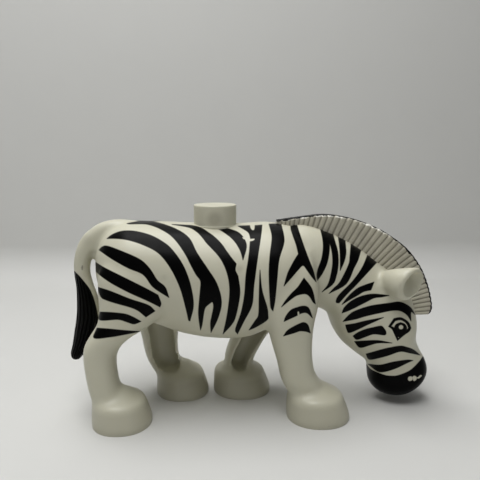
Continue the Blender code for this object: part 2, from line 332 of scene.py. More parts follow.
class Sheet:
    """A material under construction: its node tree and short ways to extend it."""

    def __init__(self, name: str) -> None:
        """Starts a material with one Principled shader, under the given name."""
        self.material = bpy.data.materials.new(name)
        self.material.use_nodes = True
        self.tree = self.material.node_tree
        self.shader = self.tree.nodes["Principled BSDF"]

    def node(self, kind: str, settings: dict[str, object] | None = None,
             **inputs: object) -> bpy.types.Node:
        """Adds a node.

        Args:
            kind: its type, without the ShaderNode part.
            settings: its own properties.
            inputs: its sockets by name, underscores for spaces, each a value or a socket.

        Returns:
            The node.
        """
        node = self.tree.nodes.new("ShaderNode" + kind)
        for name, value in (settings or {}).items():
            setattr(node, name, value)
        for name, value in inputs.items():
            self.feed(node.inputs[name.replace("_", " ")], value)
        return node

    def feed(self, socket: Socket, value: object) -> None:
        """Fills a socket.

        Args:
            socket: the socket.
            value: its value, or another socket to link it to.
        """
        if isinstance(value, Socket):
            self.tree.links.new(value, socket)
        else:
            socket.default_value = value

    def finish(self, **inputs: object) -> None:
        """Fills the shader's own sockets, by name, underscores for spaces."""
        for name, value in inputs.items():
            self.feed(self.shader.inputs[name.replace("_", " ")], value)

    def attribute(self, name: str) -> Socket:
        """The number that the mesh keeps under a name."""
        return self.node("Attribute", {"attribute_name": name}).outputs["Fac"]

    def noise(self, scale: float, detail: float) -> Socket:
        """Fixed noise from 0 to 1, of a fineness and a number of octaves."""
        place = self.node("TexCoord").outputs["Object"]
        noise = self.node("TexNoise", Vector=place, Scale=scale, Detail=detail)
        return noise.outputs["Fac"]

    def wander(self, grain: Grain) -> Socket:
        """A number that wanders as the grain says."""
        noise = self.noise(grain.scale, grain.detail)
        return self.ramp(noise, grain.low, grain.high, grain.start, grain.end)

    def ramp(self, value: Socket, low: float, high: float, start: float = 0.0,
             end: float = 1.0) -> Socket:
        """Turns one number smoothly into another.

        Args:
            value: the number.
            low: where the change begins.
            high: where it ends.
            start: the result up to low.
            end: the result from high on.

        Returns:
            The other number.
        """
        node = self.node("MapRange", {"interpolation_type": "SMOOTHSTEP"}, Value=value,
                         From_Min=low, From_Max=high, To_Min=start, To_Max=end)
        return node.outputs["Result"]

    def maths(self, operation: str, *numbers: Socket | float) -> Socket:
        """Does one step of arithmetic.

        Args:
            operation: which, as the Math node names it.
            numbers: what it works on.

        Returns:
            Its result.
        """
        node = self.node("Math", {"operation": operation})
        for socket, number in zip(node.inputs, numbers):
            self.feed(socket, number)
        return node.outputs["Value"]

    def between(self, share: Socket, first: Socket, second: Socket | float) -> Socket:
        """Mixes two numbers.

        Args:
            share: how much of the second one.
            first: the first number.
            second: the second number.

        Returns:
            The number between them.
        """
        node = self.node("Mix", {"data_type": "FLOAT"})
        for index, value in ((0, share), (2, first), (3, second)):
            self.feed(node.inputs[index], value)
        return node.outputs[0]

    def blend(self, share: Socket, first: Socket | Colour, second: Colour) -> Socket:
        """Mixes two colours.

        Args:
            share: how much of the second one.
            first: the first colour.
            second: the second colour.

        Returns:
            The colour between them.
        """
        node = self.node("Mix", {"data_type": "RGBA"})
        for index, value in ((0, share), (6, first), (7, second)):
            self.feed(node.inputs[index], value)
        return node.outputs[2]

    def bump(self, height: Socket, distance: float) -> Socket:
        """The way the surface faces once a height, in units of distance, roughens it."""
        return self.node("Bump", Height=height, Distance=distance, Strength=1.0).outputs[0]


@dataclass(frozen=True)
class PaintedPlastic:
    """Off-white plastic, satin, with glossy black print where the mesh is painted."""

    name: str = "painted_plastic"
    plastic: Colour = (0.575, 0.56, 0.445, 1.0)
    darker: Colour = (0.53, 0.51, 0.40, 1.0)
    mottle: Grain = Grain(90.0, 2.0, 0.3, 0.7, 0.0, 0.16)
    print_colour: Colour = (0.0015, 0.0015, 0.0015, 1.0)
    print_edge: float = 0.45
    print_spread: float = 0.4
    scuff: Colour = (0.17, 0.16, 0.13, 1.0)
    scuff_edge: float = 0.6
    scuff_depth: float = 0.8
    # colour of real smudges, and also of painted shade: the button's dark side patch and the
    # darker hoof walls
    stain_and_shade: Colour = (0.20, 0.18, 0.13, 1.0)
    stain_and_shade_depth: float = 0.4
    shine: float = 0.45
    print_shine: float = 0.05
    polish: Grain = Grain(260.0, 3.0, 0.3, 0.75, 0.36, 0.46)
    gloss: Grain = Grain(500.0, 3.0, 0.3, 0.75, 0.28, 0.36)
    hairs: float = 40.0
    hair_height: float = 0.00012
    grain_scale: float = 900.0
    grain_detail: float = 3.0
    grain_height: float = 0.06
    glow: float = 0.06
    glow_radius: Place = (1.0, 0.8, 0.5)
    glow_depth: float = 0.001

    def colour(self, sheet: Sheet, printed: Socket) -> Socket:
        """Mixes its colour.

        Args:
            sheet: the material under construction.
            printed: where the print is.

        Returns:
            The colour.
        """
        body = sheet.blend(sheet.wander(self.mottle), self.plastic, self.darker)
        scuffed = sheet.ramp(sheet.attribute("scuff"), -self.scuff_edge, self.scuff_edge,
                             self.scuff_depth, 0.0)
        body = sheet.blend(scuffed, body, self.scuff)
        # real smudges and painted shade (button patch, low on the hooves) darken the plastic
        # here
        stained_and_shaded = sheet.maths("MULTIPLY", sheet.attribute("stain_and_shade"), self.stain_and_shade_depth)
        body = sheet.blend(stained_and_shaded, body, self.stain_and_shade)
        return sheet.blend(printed, body, self.print_colour)

    def relief(self, sheet: Sheet) -> Socket:
        """Roughens it with fine grain, and with hairs on the tuft.

        Args:
            sheet: the material under construction.

        Returns:
            The way the surface faces.
        """
        hairs = sheet.maths("MULTIPLY", sheet.attribute("strand"), self.hairs)
        hairs = sheet.maths("MULTIPLY", sheet.maths("SINE", hairs), sheet.attribute("tuft"))
        grain = sheet.noise(self.grain_scale, self.grain_detail)
        grain = sheet.maths("MULTIPLY", grain, self.grain_height)
        return sheet.bump(sheet.maths("ADD", hairs, grain), self.hair_height)

    def material(self) -> bpy.types.Material:
        """Builds the finish.

        Returns:
            Its material.
        """
        sheet = Sheet(self.name)
        printed = sheet.ramp(sheet.attribute("print"), self.print_spread - self.print_edge,
                             self.print_spread + self.print_edge, 1.0, 0.0)
        sheet.finish(
            Base_Color=self.colour(sheet, printed),
            Roughness=sheet.between(printed, sheet.wander(self.polish),
                                    sheet.wander(self.gloss)),
            Specular_IOR_Level=sheet.between(printed, self.shine, self.print_shine),
            Normal=self.relief(sheet),
            Subsurface_Weight=self.glow,
            Subsurface_Radius=self.glow_radius,
            Subsurface_Scale=self.glow_depth,
        )
        return sheet.material


@dataclass(frozen=True)
class SilverPaint:
    """Silver-grey paint over the mane's ribs, its edge black, darker in the grooves (partly a
    dark wash, partly painted shade), the ribs' ends rubbed bare and lit with a painted
    highlight.
    """

    name: str = "silver_mane"
    silver: Colour = (0.53, 0.505, 0.41, 1.0)
    darker: Colour = (0.36, 0.34, 0.28, 1.0)
    mottle: Grain = Grain(330.0, 4.0, 0.35, 0.7, 0.0, 0.4)
    # darker in the grooves between the ribs: partly a dark wash, partly painted shade
    grooves: Colour = (0.14, 0.13, 0.11, 1.0)
    groove_shade_start: float = 0.2
    groove_shade_depth: float = 0.5
    # worn rib ends, painted brighter than the bare plastic itself: partly wear, partly painted
    # highlight
    bare: Colour = (0.90, 0.89, 0.82, 1.0)
    lit_bare_full: float = 0.3
    lit_bare_reach: float = 0.55
    rubbed_and_lit: Grain = Grain(260.0, 4.0, 0.44, 0.52, 0.0, 1.0)
    black: Colour = (0.008, 0.008, 0.008, 1.0)
    black_fade: float = 0.12
    ragged: Grain = Grain(900.0, 3.0, 0.2, 0.8, -0.2, 0.2)
    metal: float = 0.1
    shine: float = 0.06
    roughness: float = 0.42
    grain_scale: float = 1200.0
    grain_detail: float = 3.0
    grain_height: float = 0.00003

    def colour(self, sheet: Sheet) -> Socket:
        """Mixes its colour.

        Args:
            sheet: the material under construction.

        Returns:
            The colour.
        """
        body = sheet.blend(sheet.wander(self.mottle), self.silver, self.darker)
        # painted shade, with some dark wash, deepest between the ribs
        groove = sheet.ramp(sheet.attribute("groove"), self.groove_shade_start, 1.0, 0.0,
                            self.groove_shade_depth)
        body = sheet.blend(groove, body, self.grooves)
        # painted highlight with wear: bright rib ends just under the black edge
        lit_worn_ends = sheet.ramp(sheet.attribute("edge"), self.lit_bare_full, self.lit_bare_reach, 1.0, 0.0)
        lit_worn_ends = sheet.maths("MULTIPLY", lit_worn_ends, sheet.attribute("worn_and_lit"))
        lit_worn_ends = sheet.maths("MULTIPLY", lit_worn_ends, sheet.wander(self.rubbed_and_lit))
        body = sheet.blend(lit_worn_ends, body, self.bare)
        ink = sheet.maths("ADD", sheet.attribute("ink"), sheet.wander(self.ragged))
        return sheet.blend(sheet.ramp(ink, 0.0, self.black_fade, 1.0, 0.0), body, self.black)

    def material(self) -> bpy.types.Material:
        """Builds the finish.

        Returns:
            Its material.
        """
        sheet = Sheet(self.name)
        grain = sheet.noise(self.grain_scale, self.grain_detail)
        sheet.finish(
            Base_Color=self.colour(sheet),
            Metallic=self.metal,
            Specular_IOR_Level=self.shine,
            Roughness=self.roughness,
            Normal=sheet.bump(grain, self.grain_height),
        )
        return sheet.material


@dataclass(frozen=True)
class PaleBoard:
    """The matt pale board under and behind the figure."""

    name: str = "pale_board"
    pale: Colour = (0.62, 0.62, 0.60, 1.0)
    darker: Colour = (0.5, 0.5, 0.49, 1.0)
    mottle: Grain = Grain(60.0, 3.0, 0.3, 0.7, 0.0, 0.04)
    roughness: float = 0.7

    def material(self) -> bpy.types.Material:
        """Builds the finish.

        Returns:
            Its material.
        """
        sheet = Sheet(self.name)
        colour = sheet.blend(sheet.wander(self.mottle), self.pale, self.darker)
        sheet.finish(Base_Color=colour, Roughness=self.roughness)
        return sheet.material


@dataclass(frozen=True)
class Trunk:
    """Barrel of the body, from the rump to the chest."""

    power: float = 2.25
    # x, top, bottom, half width
    rows: tuple[Row, ...] = (
        (-35.4, 35.0, 31.4, 2.0),
        (-34.9, 36.8, 29.0, 4.8),
        (-33.7, 39.2, 25.8, 7.6),
        (-31.6, 41.3, 23.3, 9.8),
        (-28.4, 42.4, 21.6, 11.4),
        (-23.0, 42.4, 20.2, 12.2),
        (-17.0, 42.1, 17.9, 12.6),
        (-10.0, 41.8, 16.5, 12.7),
        (-3.0, 41.8, 16.5, 12.8),
        (2.0, 42.0, 18.4, 12.9),
        (6.0, 41.6, 20.4, 12.6),
        (8.6, 40.4, 22.2, 11.4),
        (10.6, 38.2, 24.0, 9.6),
        (12.0, 35.2, 26.2, 7.2),
        (12.8, 32.2, 28.6, 3.0),
    )

    def mesh(self) -> Form:
        """Builds its form.

        Returns:
            The closed form.
        """
        rows = through(self.rows)
        pages = [(x, top, x, bottom) for x, top, bottom, _ in rows]
        return skin(standing_rings(pages, rows[:, 3] * DRAWING.scale, self.power))


@dataclass(frozen=True)
class NeckAndHead:
    """Neck and head, down to the muzzle."""

    power: float = 2.25
    # upper x, z, lower x, z, half width
    rows: tuple[Row, ...] = (
        (4.0, 40.4, 7.0, 25.4, 7.6),
        (9.8, 41.6, 12.2, 23.2, 8.3),
        (16.6, 39.5, 16.0, 21.4, 7.8),
        (22.4, 36.5, 17.6, 17.6, 7.3),
        (27.0, 33.1, 19.5, 14.6, 7.1),
        (31.2, 30.0, 21.8, 12.5, 7.3),
        (34.3, 26.9, 24.0, 10.8, 7.5),
        (35.9, 23.2, 25.5, 9.7, 7.4),
        (36.8, 19.4, 26.2, 8.4, 7.1),
        (36.8, 15.4, 26.4, 6.9, 6.6),
        (37.9, 12.5, 26.5, 5.0, 6.2),
        (39.2, 10.3, 27.3, 3.2, 6.4),
        (39.9, 7.9, 29.2, 1.9, 6.3),
        (39.1, 5.7, 32.1, 1.4, 5.0),
        (37.4, 4.0, 34.7, 2.0, 2.2),
    )

    def mesh(self) -> Form:
        """Builds its form.

        Returns:
            The closed form.
        """
        rows = through(self.rows)
        return skin(standing_rings(rows[:, :4], rows[:, 4] * DRAWING.scale, self.power))


@dataclass(frozen=True)
class Tail:
    """Tail and its tuft, in the middle plane."""

    half_width: float = 0.0022
    power: float = 2.25
    # outer x, z, inner x, z, share of the half width
    rows: tuple[Row, ...] = (
        (-27.0, 42.7, -27.0, 39.0, 1.0),
        (-31.0, 42.95, -29.4, 40.4, 1.05),
        (-34.4, 42.2, -31.9, 39.4, 1.05),
        (-36.7, 40.8, -33.7, 37.9, 1.05),
        (-38.4, 39.2, -35.0, 36.3, 1.0),
        (-39.7, 36.7, -36.2, 34.9, 1.0),
        (-40.4, 33.6, -36.8, 33.0, 0.95),
        (-40.4, 31.0, -36.9, 31.0, 0.95),
        (-40.1, 28.0, -36.3, 28.4, 1.0),
        (-40.1, 25.0, -35.4, 25.4, 1.15),
        (-40.3, 21.5, -35.0, 21.8, 1.2),
        (-40.9, 18.1, -35.8, 18.3, 1.15),
        (-41.5, 14.8, -37.4, 15.0, 0.95),
        (-42.1, 12.5, -39.4, 12.0, 0.7),
        (-41.6, 11.2, -40.2, 11.1, 0.4),
    )

    def mesh(self) -> Form:
        """Builds its form.

        Returns:
            The closed form.
        """
        rows = through(self.rows)
        return skin(standing_rings(rows[:, :4], rows[:, 4] * self.half_width, self.power))

    def strand(self, points: np.ndarray) -> np.ndarray:
        """Finds how far across the tuft points lie.

        Args:
            points: the points, in metres.

        Returns:
            For each point 0 at the tuft's outer edge, 1 at its inner one.
        """
        rows = through(self.rows)
        # below its upper third the tail hangs, so that height only falls; np.interp needs
        # it to rise
        hanging = rows[len(rows) // 3:][::-1]
        height = points[:, 2] / DRAWING.scale
        drawn_x = points[:, 0] / DRAWING.scale + (DRAWING.first + DRAWING.last) / 2
        outer = np.interp(height, hanging[:, 1], hanging[:, 0])
        inner = np.interp(height, hanging[:, 3], hanging[:, 2])
        return (drawn_x - outer) / (inner - outer)


@dataclass(frozen=True)
class Leg:
    """One leg with its hoof, the hollow in its inner face and the recess under its sole."""

    # z, back, front, inner and outer side as shares of the leg's thickness
    rows: tuple[Row, ...]
    side: Side
    hoof_x: float
    hoof_half_length: float
    thickness: float = 0.0088
    spacing: float = 0.016
    hoof_half_width: float = 0.0074
    hoof_height: float = 0.0052
    recess_radius: float = 0.0048
    recess_depth: float = 0.0012
    wall: float = 0.0014
    hollow_depth: float = 0.0058
    hollow_power: float = 3.5
    hollow_top: float = 18.6
    hollow_foot: float = 5.8
    hollow_rounding: float = 1.8
    hollow_end: float = 0.3
    # how much further forward the hollow's back and front edges lie: at its top, at its foot
    hollow_back: Point = (0.0, 0.0)
    hollow_front: Point = (0.0, 0.0)
    hollow_points: int = 48
    power: float = 2.5
    hoof_power: float = 2.15
    hoof_points: int = 96
    # share of the hoof's height, of its half sizes, shift as a share of its half length
    hoof_profile: tuple[Row, ...] = (
        (-0.25, 0.95, 0.0),
        (0.0, 0.99, 0.0),
        (0.14, 1.0, 0.0),
        (0.46, 0.955, -0.035),
        (0.8, 0.9, -0.08),
        (0.96, 0.87, -0.095),
        (1.05, 0.81, -0.105),
        (1.12, 0.71, -0.11),
        (1.21, 0.59, -0.11),
        (1.33, 0.43, -0.08),
        (1.46, 0.22, -0.02),
    )

    @property
    def inner_face(self) -> float:
        """Distance from the middle plane to the inner face."""
        return self.spacing / 2 - self.thickness / 2

    def shaft(self) -> Form:
        """Builds the leg down to its hoof.

        Returns:
            The closed form.
        """
        rings = []
        for z, back, front, inner, outer in through(self.rows):
            near = DRAWING.place((back, 0.0, z))
            far = DRAWING.place((front, 0.0, z))
            inner_y = self.inner_face + inner * self.thickness
            outer_y = self.inner_face + outer * self.thickness
            aside = np.array([0.0, self.side.value * (inner_y + outer_y) / 2, 0.0])
            rings.append(oval((near + far) / 2 + aside, (far - near) / 2,
                              (0.0, (outer_y - inner_y) / 2, 0.0), self.power))
        return skin(rings)

    def hoof(self) -> Form:
        """Builds the broad hoof.

        Returns:
            The closed form.
        """
        rings = []
        for height, share, shift in through(self.hoof_profile):
            middle = DRAWING.place((self.hoof_x + shift * self.hoof_half_length, 0.0, 0.0))
            middle += np.array([0.0, self.side.value * self.spacing / 2,
                                height * self.hoof_height])
            half = self.hoof_half_length * DRAWING.scale * share
            rings.append(oval(middle, (half, 0.0, 0.0),
                              (0.0, self.hoof_half_width * share, 0.0), self.hoof_power,
                              self.hoof_points))
        return skin(rings)

    def hollow(self) -> Form:
        """Builds what is taken out of the inner face.

        Returns:
            The closed form.
        """
        face = np.array([0.0, self.side.value * self.inner_face, 0.0])
        rings = []
        for z, back, front, _, _ in through(self.rows):
            if not self.hollow_foot <= z <= self.hollow_top:
                continue
            rise = min(self.hollow_rounding, self.hollow_top - z, z - self.hollow_foot)
            rise /= self.hollow_rounding
            share = max(self.hollow_end, math.sqrt(1.0 - (1.0 - rise) ** 2))
            down = (self.hollow_top - z) / (self.hollow_top - self.hollow_foot)
            back += np.interp(down, (0.0, 1.0), self.hollow_back)
            front += np.interp(down, (0.0, 1.0), self.hollow_front)
            near = DRAWING.place((back, 0.0, z))
            far = DRAWING.place((front, 0.0, z))
            half = ((far[0] - near[0]) / 2 - self.wall) * share
            rings.append(oval((near + far) / 2 + face, (half, 0.0, 0.0),
                              (0.0, self.hollow_depth, 0.0), self.hollow_power,
                              self.hollow_points))
        return skin(rings)

    def recess(self) -> Form:
        """Builds what is taken out of the sole.

        Returns:
            The closed form.
        """
        middle = DRAWING.place((self.hoof_x, 0.0, 0.0))
        middle[1] = self.side.value * self.spacing / 2
        rings = [oval(middle + np.array([0.0, 0.0, height]), (self.recess_radius, 0.0, 0.0),
                      (0.0, self.recess_radius, 0.0))
                 for height in (-self.recess_depth, self.recess_depth)]
        return skin(rings)


LEGS = (
    Leg(side=Side.RIGHT, hoof_x=-29.8, hoof_half_length=6.4, rows=(
        (37.0, -31.0, -22.0, 0.1, 0.60),
        (33.0, -33.6, -18.0, 0.0, 0.95),
        (28.5, -33.9, -17.2, 0.0, 1.06),
        (25.0, -33.8, -19.4, 0.0, 1.08),
        (22.0, -34.3, -22.8, 0.0, 1.07),
        (19.4, -35.9, -27.0, 0.0, 1.05),
        (17.0, -37.2, -29.6, 0.0, 1.02),
        (14.0, -37.4, -30.7, 0.0, 1.0),
        (9.4, -36.9, -30.4, 0.0, 0.98),
        (6.6, -36.3, -29.6, 0.05, 0.97),
        (4.0, -35.6, -29.0, 0.15, 0.9),
    )),
    Leg(side=Side.LEFT, hoof_x=-17.2, hoof_half_length=6.3, hollow_back=(1.3, 0.5),
        hollow_front=(0.0, 1.3), rows=(
        (37.0, -31.0, -22.0, 0.1, 0.60),
        (33.0, -33.0, -18.0, 0.0, 0.95),
        (28.5, -33.4, -16.6, 0.0, 1.06),
        (25.0, -32.2, -16.4, 0.0, 1.08),
        (21.5, -30.0, -17.0, 0.0, 1.06),
        (18.0, -28.0, -17.8, 0.0, 1.02),
        (14.3, -26.9, -18.2, 0.0, 1.0),
        (11.4, -26.4, -18.3, 0.0, 1.0),
        (8.8, -25.7, -18.0, 0.0, 0.98),
        (6.6, -24.7, -17.3, 0.05, 0.97),
        (4.0, -23.2, -16.4, 0.15, 0.9),
    )),
    Leg(side=Side.RIGHT, hoof_x=12.8, hoof_half_length=6.9, rows=(
        (37.0, 3.4, 11.0, 0.1, 0.60),
        (33.0, 2.0, 11.6, 0.0, 0.96),
        (28.5, 1.2, 12.4, 0.0, 1.08),
        (25.0, 0.9, 12.2, 0.0, 1.10),
        (22.0, 1.2, 11.6, 0.0, 1.08),
        (19.5, 1.8, 11.3, 0.0, 1.05),
        (16.0, 2.7, 11.2, 0.0, 1.0),
        (12.7, 3.7, 11.4, 0.0, 0.98),
        (10.0, 4.3, 12.0, 0.0, 0.97),
        (8.0, 4.9, 13.2, 0.05, 0.97),
        (4.0, 7.2, 14.2, 0.15, 0.9),
    )),
    Leg(side=Side.LEFT, hoof_x=-2.8, hoof_half_length=6.9, hollow_back=(1.2, 0.0),
        hollow_front=(0.0, -0.3), rows=(
        (37.0, 2.4, 10.4, 0.1, 0.60),
        (33.0, 1.2, 11.4, 0.0, 0.96),
        (28.5, 0.0, 12.2, 0.0, 1.08),
        (25.0, -1.0, 11.4, 0.0, 1.10),
        (21.0, -2.2, 9.2, 0.0, 1.06),
        (17.5, -3.6, 6.0, 0.0, 1.03),
        (14.3, -4.9, 3.6, 0.0, 1.0),
        (11.3, -6.1, 1.7, 0.0, 0.98),
        (8.6, -6.9, 0.3, 0.0, 0.97),
        (7.0, -6.9, 0.0, 0.05, 0.97),
        (4.0, -6.4, 0.8, 0.15, 0.9),
    )),
)


@dataclass(frozen=True)
class Ear:
    """One ear, cupped at its mouth."""

    side: Side
    cup_depth: float = 0.0030
    cup_lean: float = 0.45
    cup_steps: int = 5
    points: int = 96
    # the two ways across its mouth: forwards, outwards, upwards
    across: Place = (0.72, -0.55, -0.42)
    rise: Place = (0.49, -0.02, 0.87)
    # middle x, y, z, half height, half width, share of the mouth's lean
    rows: tuple[Row, ...] = (
        (28.4, 3.6, 29.2, 2.4, 2.0, 0.0),
        (28.9, 5.4, 29.3, 3.0, 2.6, 0.3),
        (29.8, 7.0, 29.35, 3.5, 3.1, 0.6),
        (30.8, 8.2, 29.4, 3.8, 3.5, 0.85),
        (31.8, 9.1, 29.5, 3.95, 3.7, 1.0),
        (32.3, 9.6, 29.5, 3.95, 3.75, 1.0),
        (32.5, 9.85, 29.5, 3.5, 3.35, 1.0),
    )
    # share of the cup's depth, share of the ear's own section
    cup_rows: tuple[Point, ...] = ((-0.4, 1.0), (0.0, 0.86), (0.25, 0.68), (0.6, 0.38),
                                   (1.0, 0.08))

    def ring(self, row: ArrayLike, share: float = 1.0) -> np.ndarray:
        """Draws a section across the ear.

        Args:
            row: the section's numbers, as in rows.
            share: its size against the ear's own.

        Returns:
            The ring.
        """
        x, y, z, half_height, half_width, lean = row
        mirror = np.array([1.0, self.side.value, 1.0])
        tall = np.array(self.rise) * np.array([lean, lean, 1.0]) * mirror
        wide = np.array(self.across) * mirror
        return oval(DRAWING.place((x, self.side.value * y, z)),
                    tall * half_height * DRAWING.scale * share,
                    wide * half_width * DRAWING.scale * share, points=self.points)

    def mesh(self) -> Form:
        """The ear before it is cupped."""
        return skin([self.ring(row) for row in through(self.rows)])

    def cup(self) -> Form:
        """Builds what is taken out of its mouth.

        Returns:
            The closed form.
        """
        mouth = np.array(self.rows[-1])
        inwards = np.cross(self.across, self.rise) + self.cup_lean * np.array(self.rise)
        inwards /= np.linalg.norm(inwards)
        rings = []
        for depth_share, share in through(self.cup_rows, self.cup_steps):
            row = mouth.copy()
            row[:3] += inwards * depth_share * self.cup_depth / DRAWING.scale
            rings.append(self.ring(row, share))
        return skin(rings)


@dataclass(frozen=True)
class Stroke:
    """One printed shape, its outline in the photograph's pixels.

    runs are its edges in turn, each smooth, with a corner where one meets the next. wrap
    is how far past the turn of the surface the shape goes on, and grow widens it in pixels.
    """

    runs: tuple[Run, ...]
    paint: Paint = Paint.BLACK
    wrap: float = 0.15
    grow: float = 0.0
    steps: int = 5

    def outline(self) -> np.ndarray:
        """Draws it finely enough to measure from.

        Returns:
            The points of its closed outline.
        """
        points = []
        corner = self.runs[0][0]
        for number, run in enumerate(self.runs):
            edge = list(run) if number == 0 else [corner, *run]
            if number == len(self.runs) - 1:
                edge.append(self.runs[0][0])
            corner = run[-1]
            if len(edge) > 1:
                points.extend(through(edge, self.steps)[:-1])
        return np.array(points)


def distance_inside(points: np.ndarray, outline: np.ndarray) -> np.ndarray:
    """Measures how far points lie from an outline.

    Args:
        points: points in the picture.
        outline: corners of the closed outline.

    Returns:
        A distance for each point, below 0 inside the outline.
    """
    nearest = np.full(len(points), np.inf)
    crossings = np.zeros(len(points), dtype=bool)
    for start, end in zip(outline, np.roll(outline, -1, axis=0)):
        span = end - start
        length = float(span @ span)
        if length == 0.0:
            continue
        share = np.clip((points - start) @ span / length, 0.0, 1.0)
        gap = points - start - share[:, None] * span
        nearest = np.minimum(nearest, np.einsum("ij,ij->i", gap, gap))
        between = (start[1] > points[:, 1]) != (end[1] > points[:, 1])
        if span[1] != 0.0:
            meets = start[0] + (points[:, 1] - start[1]) * span[0] / span[1]
            crossings ^= between & (points[:, 0] < meets)
    return np.where(crossings, -1.0, 1.0) * np.sqrt(nearest)


FLANK = (
    Stroke(runs=(
        ((107, 238.6), (112, 234.7), (121, 231.3), (131, 230.8), (141, 232.4), (151, 235.4),
         (160, 240), (168.3, 245.8), (175, 253.2), (181, 261.8), (186, 271.6), (191, 287),
         (193.5, 305), (190, 321)),
        ((188.5, 320), (187, 313), (181.5, 292), (176, 278.3), (170, 267.3), (163.5, 258.3),
         (156.7, 251.8), (148, 247), (137, 242.6), (126, 239.6), (115, 238.5)),
    )),
    Stroke(runs=(
        ((127, 223.5), (140, 221.3), (155, 222), (175, 228.5), (189, 238), (197, 253),
         (207, 268), (217, 284), (221.5, 302), (218, 318), (211, 332.5)),
        ((210.5, 323), (212, 315), (213.5, 307), (212.5, 302), (209, 304), (205, 308),
         (203.5, 315), (202, 325), (200.5, 330)),
        ((199, 320), (198.5, 310), (200.3, 290), (200.5, 281), (196, 274.5), (191, 265.2),
         (186.7, 256.6), (181.7, 248.4), (176, 240.8), (170, 234.8), (163, 230.4), (155, 226.6),
         (145, 224), (130, 224)),
    )),
    Stroke(runs=(
        ((172, 224.4), (183, 224.9), (193, 225.6), (201, 227.8), (208.3, 232.4), (215, 237.4),
         (221.5, 244), (226.8, 251.6), (232, 258.6), (236.3, 263.8)),
        ((235.3, 270), (238, 276)),
        ((240, 293), (236, 315), (232, 324), (223, 334)),
        ((227, 316), (229.5, 296), (229.2, 283), (226.8, 272), (223.2, 263.3), (219, 256.5),
         (213.3, 250), (206.8, 243.2), (201.7, 236.6), (196.5, 231.6), (189, 227.4)),
    )),
    Stroke(runs=(
        ((214, 227.3), (224, 227.8), (232, 229.8), (238.3, 232.4), (243, 237), (246, 243),
         (246.2, 249), (243, 260)),
        ((240, 250), (233, 239.5), (222, 231)),
    )),
    Stroke(runs=(
        ((238, 226), (249.6, 225.5)),
        ((250.5, 228.5), (252, 230.2), (253.8, 230.3), (254.8, 228.5), (255, 225.5)),
        ((262, 225),),
        ((261, 235), (258, 255), (254, 285), (252, 305), (244, 321), (237.5, 334)),
        ((235.5, 329), (241, 313), (244.5, 295), (246, 275), (249, 255), (250.5, 238)),
        ((248, 232),),
    )),
    Stroke(paint=Paint.BARE, grow=0.7, runs=(
        ((248, 238.4), (251, 239.2), (254.2, 239), (253, 240.2), (250, 240.9), (248, 240)),
    )),
    Stroke(paint=Paint.BARE, grow=0.7, runs=(
        ((242.8, 237.6), (247, 238), (247.4, 239.4), (244, 238.8)),
    )),
    Stroke(runs=(
        ((260, 270),),
        ((262, 290), (267, 307), (268, 315), (267, 320), (256, 327), (249, 330)),
        ((255, 321), (258.5, 315), (259, 300), (259.5, 280)),
    )),
    Stroke(runs=(
        ((269, 224), (281, 223.5)),
        ((284, 237), (283.5, 245), (279, 260), (277, 280), (275, 300), (273, 311)),
        ((270.5, 305), (269, 275), (270, 255), (272, 237)),
    )),
    Stroke(runs=(
        ((290.5, 222), (296, 222)),
        ((298.8, 231.4), (304.6, 248.3), (309.6, 261.4), (313.4, 271), (316.2, 282)),
        ((312, 277), (307, 270), (303, 265.5), (298, 270), (292, 277), (284, 286)),
        ((287.5, 274), (291, 266.5), (295, 259.2), (298.4, 254)),
        ((296.3, 245), (293.3, 236.5), (291, 229)),
    )),
    Stroke(runs=(
        ((304, 278),),
        ((312, 289), (315.5, 304)),
        ((313, 302), (310, 297), (306, 294), (300, 294.5), (294, 297), (281.5, 307)),
        ((286, 300), (292, 293), (298, 287)),
    )),
    Stroke(runs=(
        ((284, 321.5),),
        ((286, 316), (291, 310), (297, 307.5), (304, 306), (309, 308.5), (312.5, 318)),
        ((307, 313), (302, 313), (296, 316)),
    )),
    Stroke(paint=Paint.BARE, runs=(
        ((297.2, 311.8), (299, 311.2), (299.8, 315.4), (297.6, 316)),
    )),
    Stroke(runs=(
        ((283.5, 336),),
        ((287, 331), (292, 327.5), (300, 323.5), (304, 322.5), (308, 325), (310.5, 333)),
        ((306, 331.5), (300, 331), (294, 333)),
    )),
    Stroke(runs=(
        ((99, 250), (102, 247), (107, 246), (120, 250.5), (140, 259.5), (150, 269),
         (157, 280), (165, 287), (169, 297.5)),
        ((160, 292), (152, 286), (143, 274.5), (128, 268), (112, 259)),
    )),
    Stroke(runs=(
        ((95, 262), (105, 268), (125, 278), (145, 288), (158, 295)),
        ((161, 303), (160, 307)),
        ((148, 301), (128, 292), (108, 281), (95, 270)),
    )),
    Stroke(runs=(
        ((97, 287), (110, 291), (130, 299), (148, 305), (155, 311)),
        ((146, 317),),
        ((135, 309), (115, 303), (106, 300), (101, 297)),
    )),
    Stroke(runs=(
        ((100, 312), (112, 312.5), (125, 314), (133, 317), (141, 321.5)),
        ((134, 324), (127, 322), (118, 319.5), (100, 320)),
    )),
    Stroke(runs=(
        ((97, 328), (110, 329), (125, 330.5), (140, 331.5)),
        ((122, 335), (110, 337), (94, 338)),
    )),
)

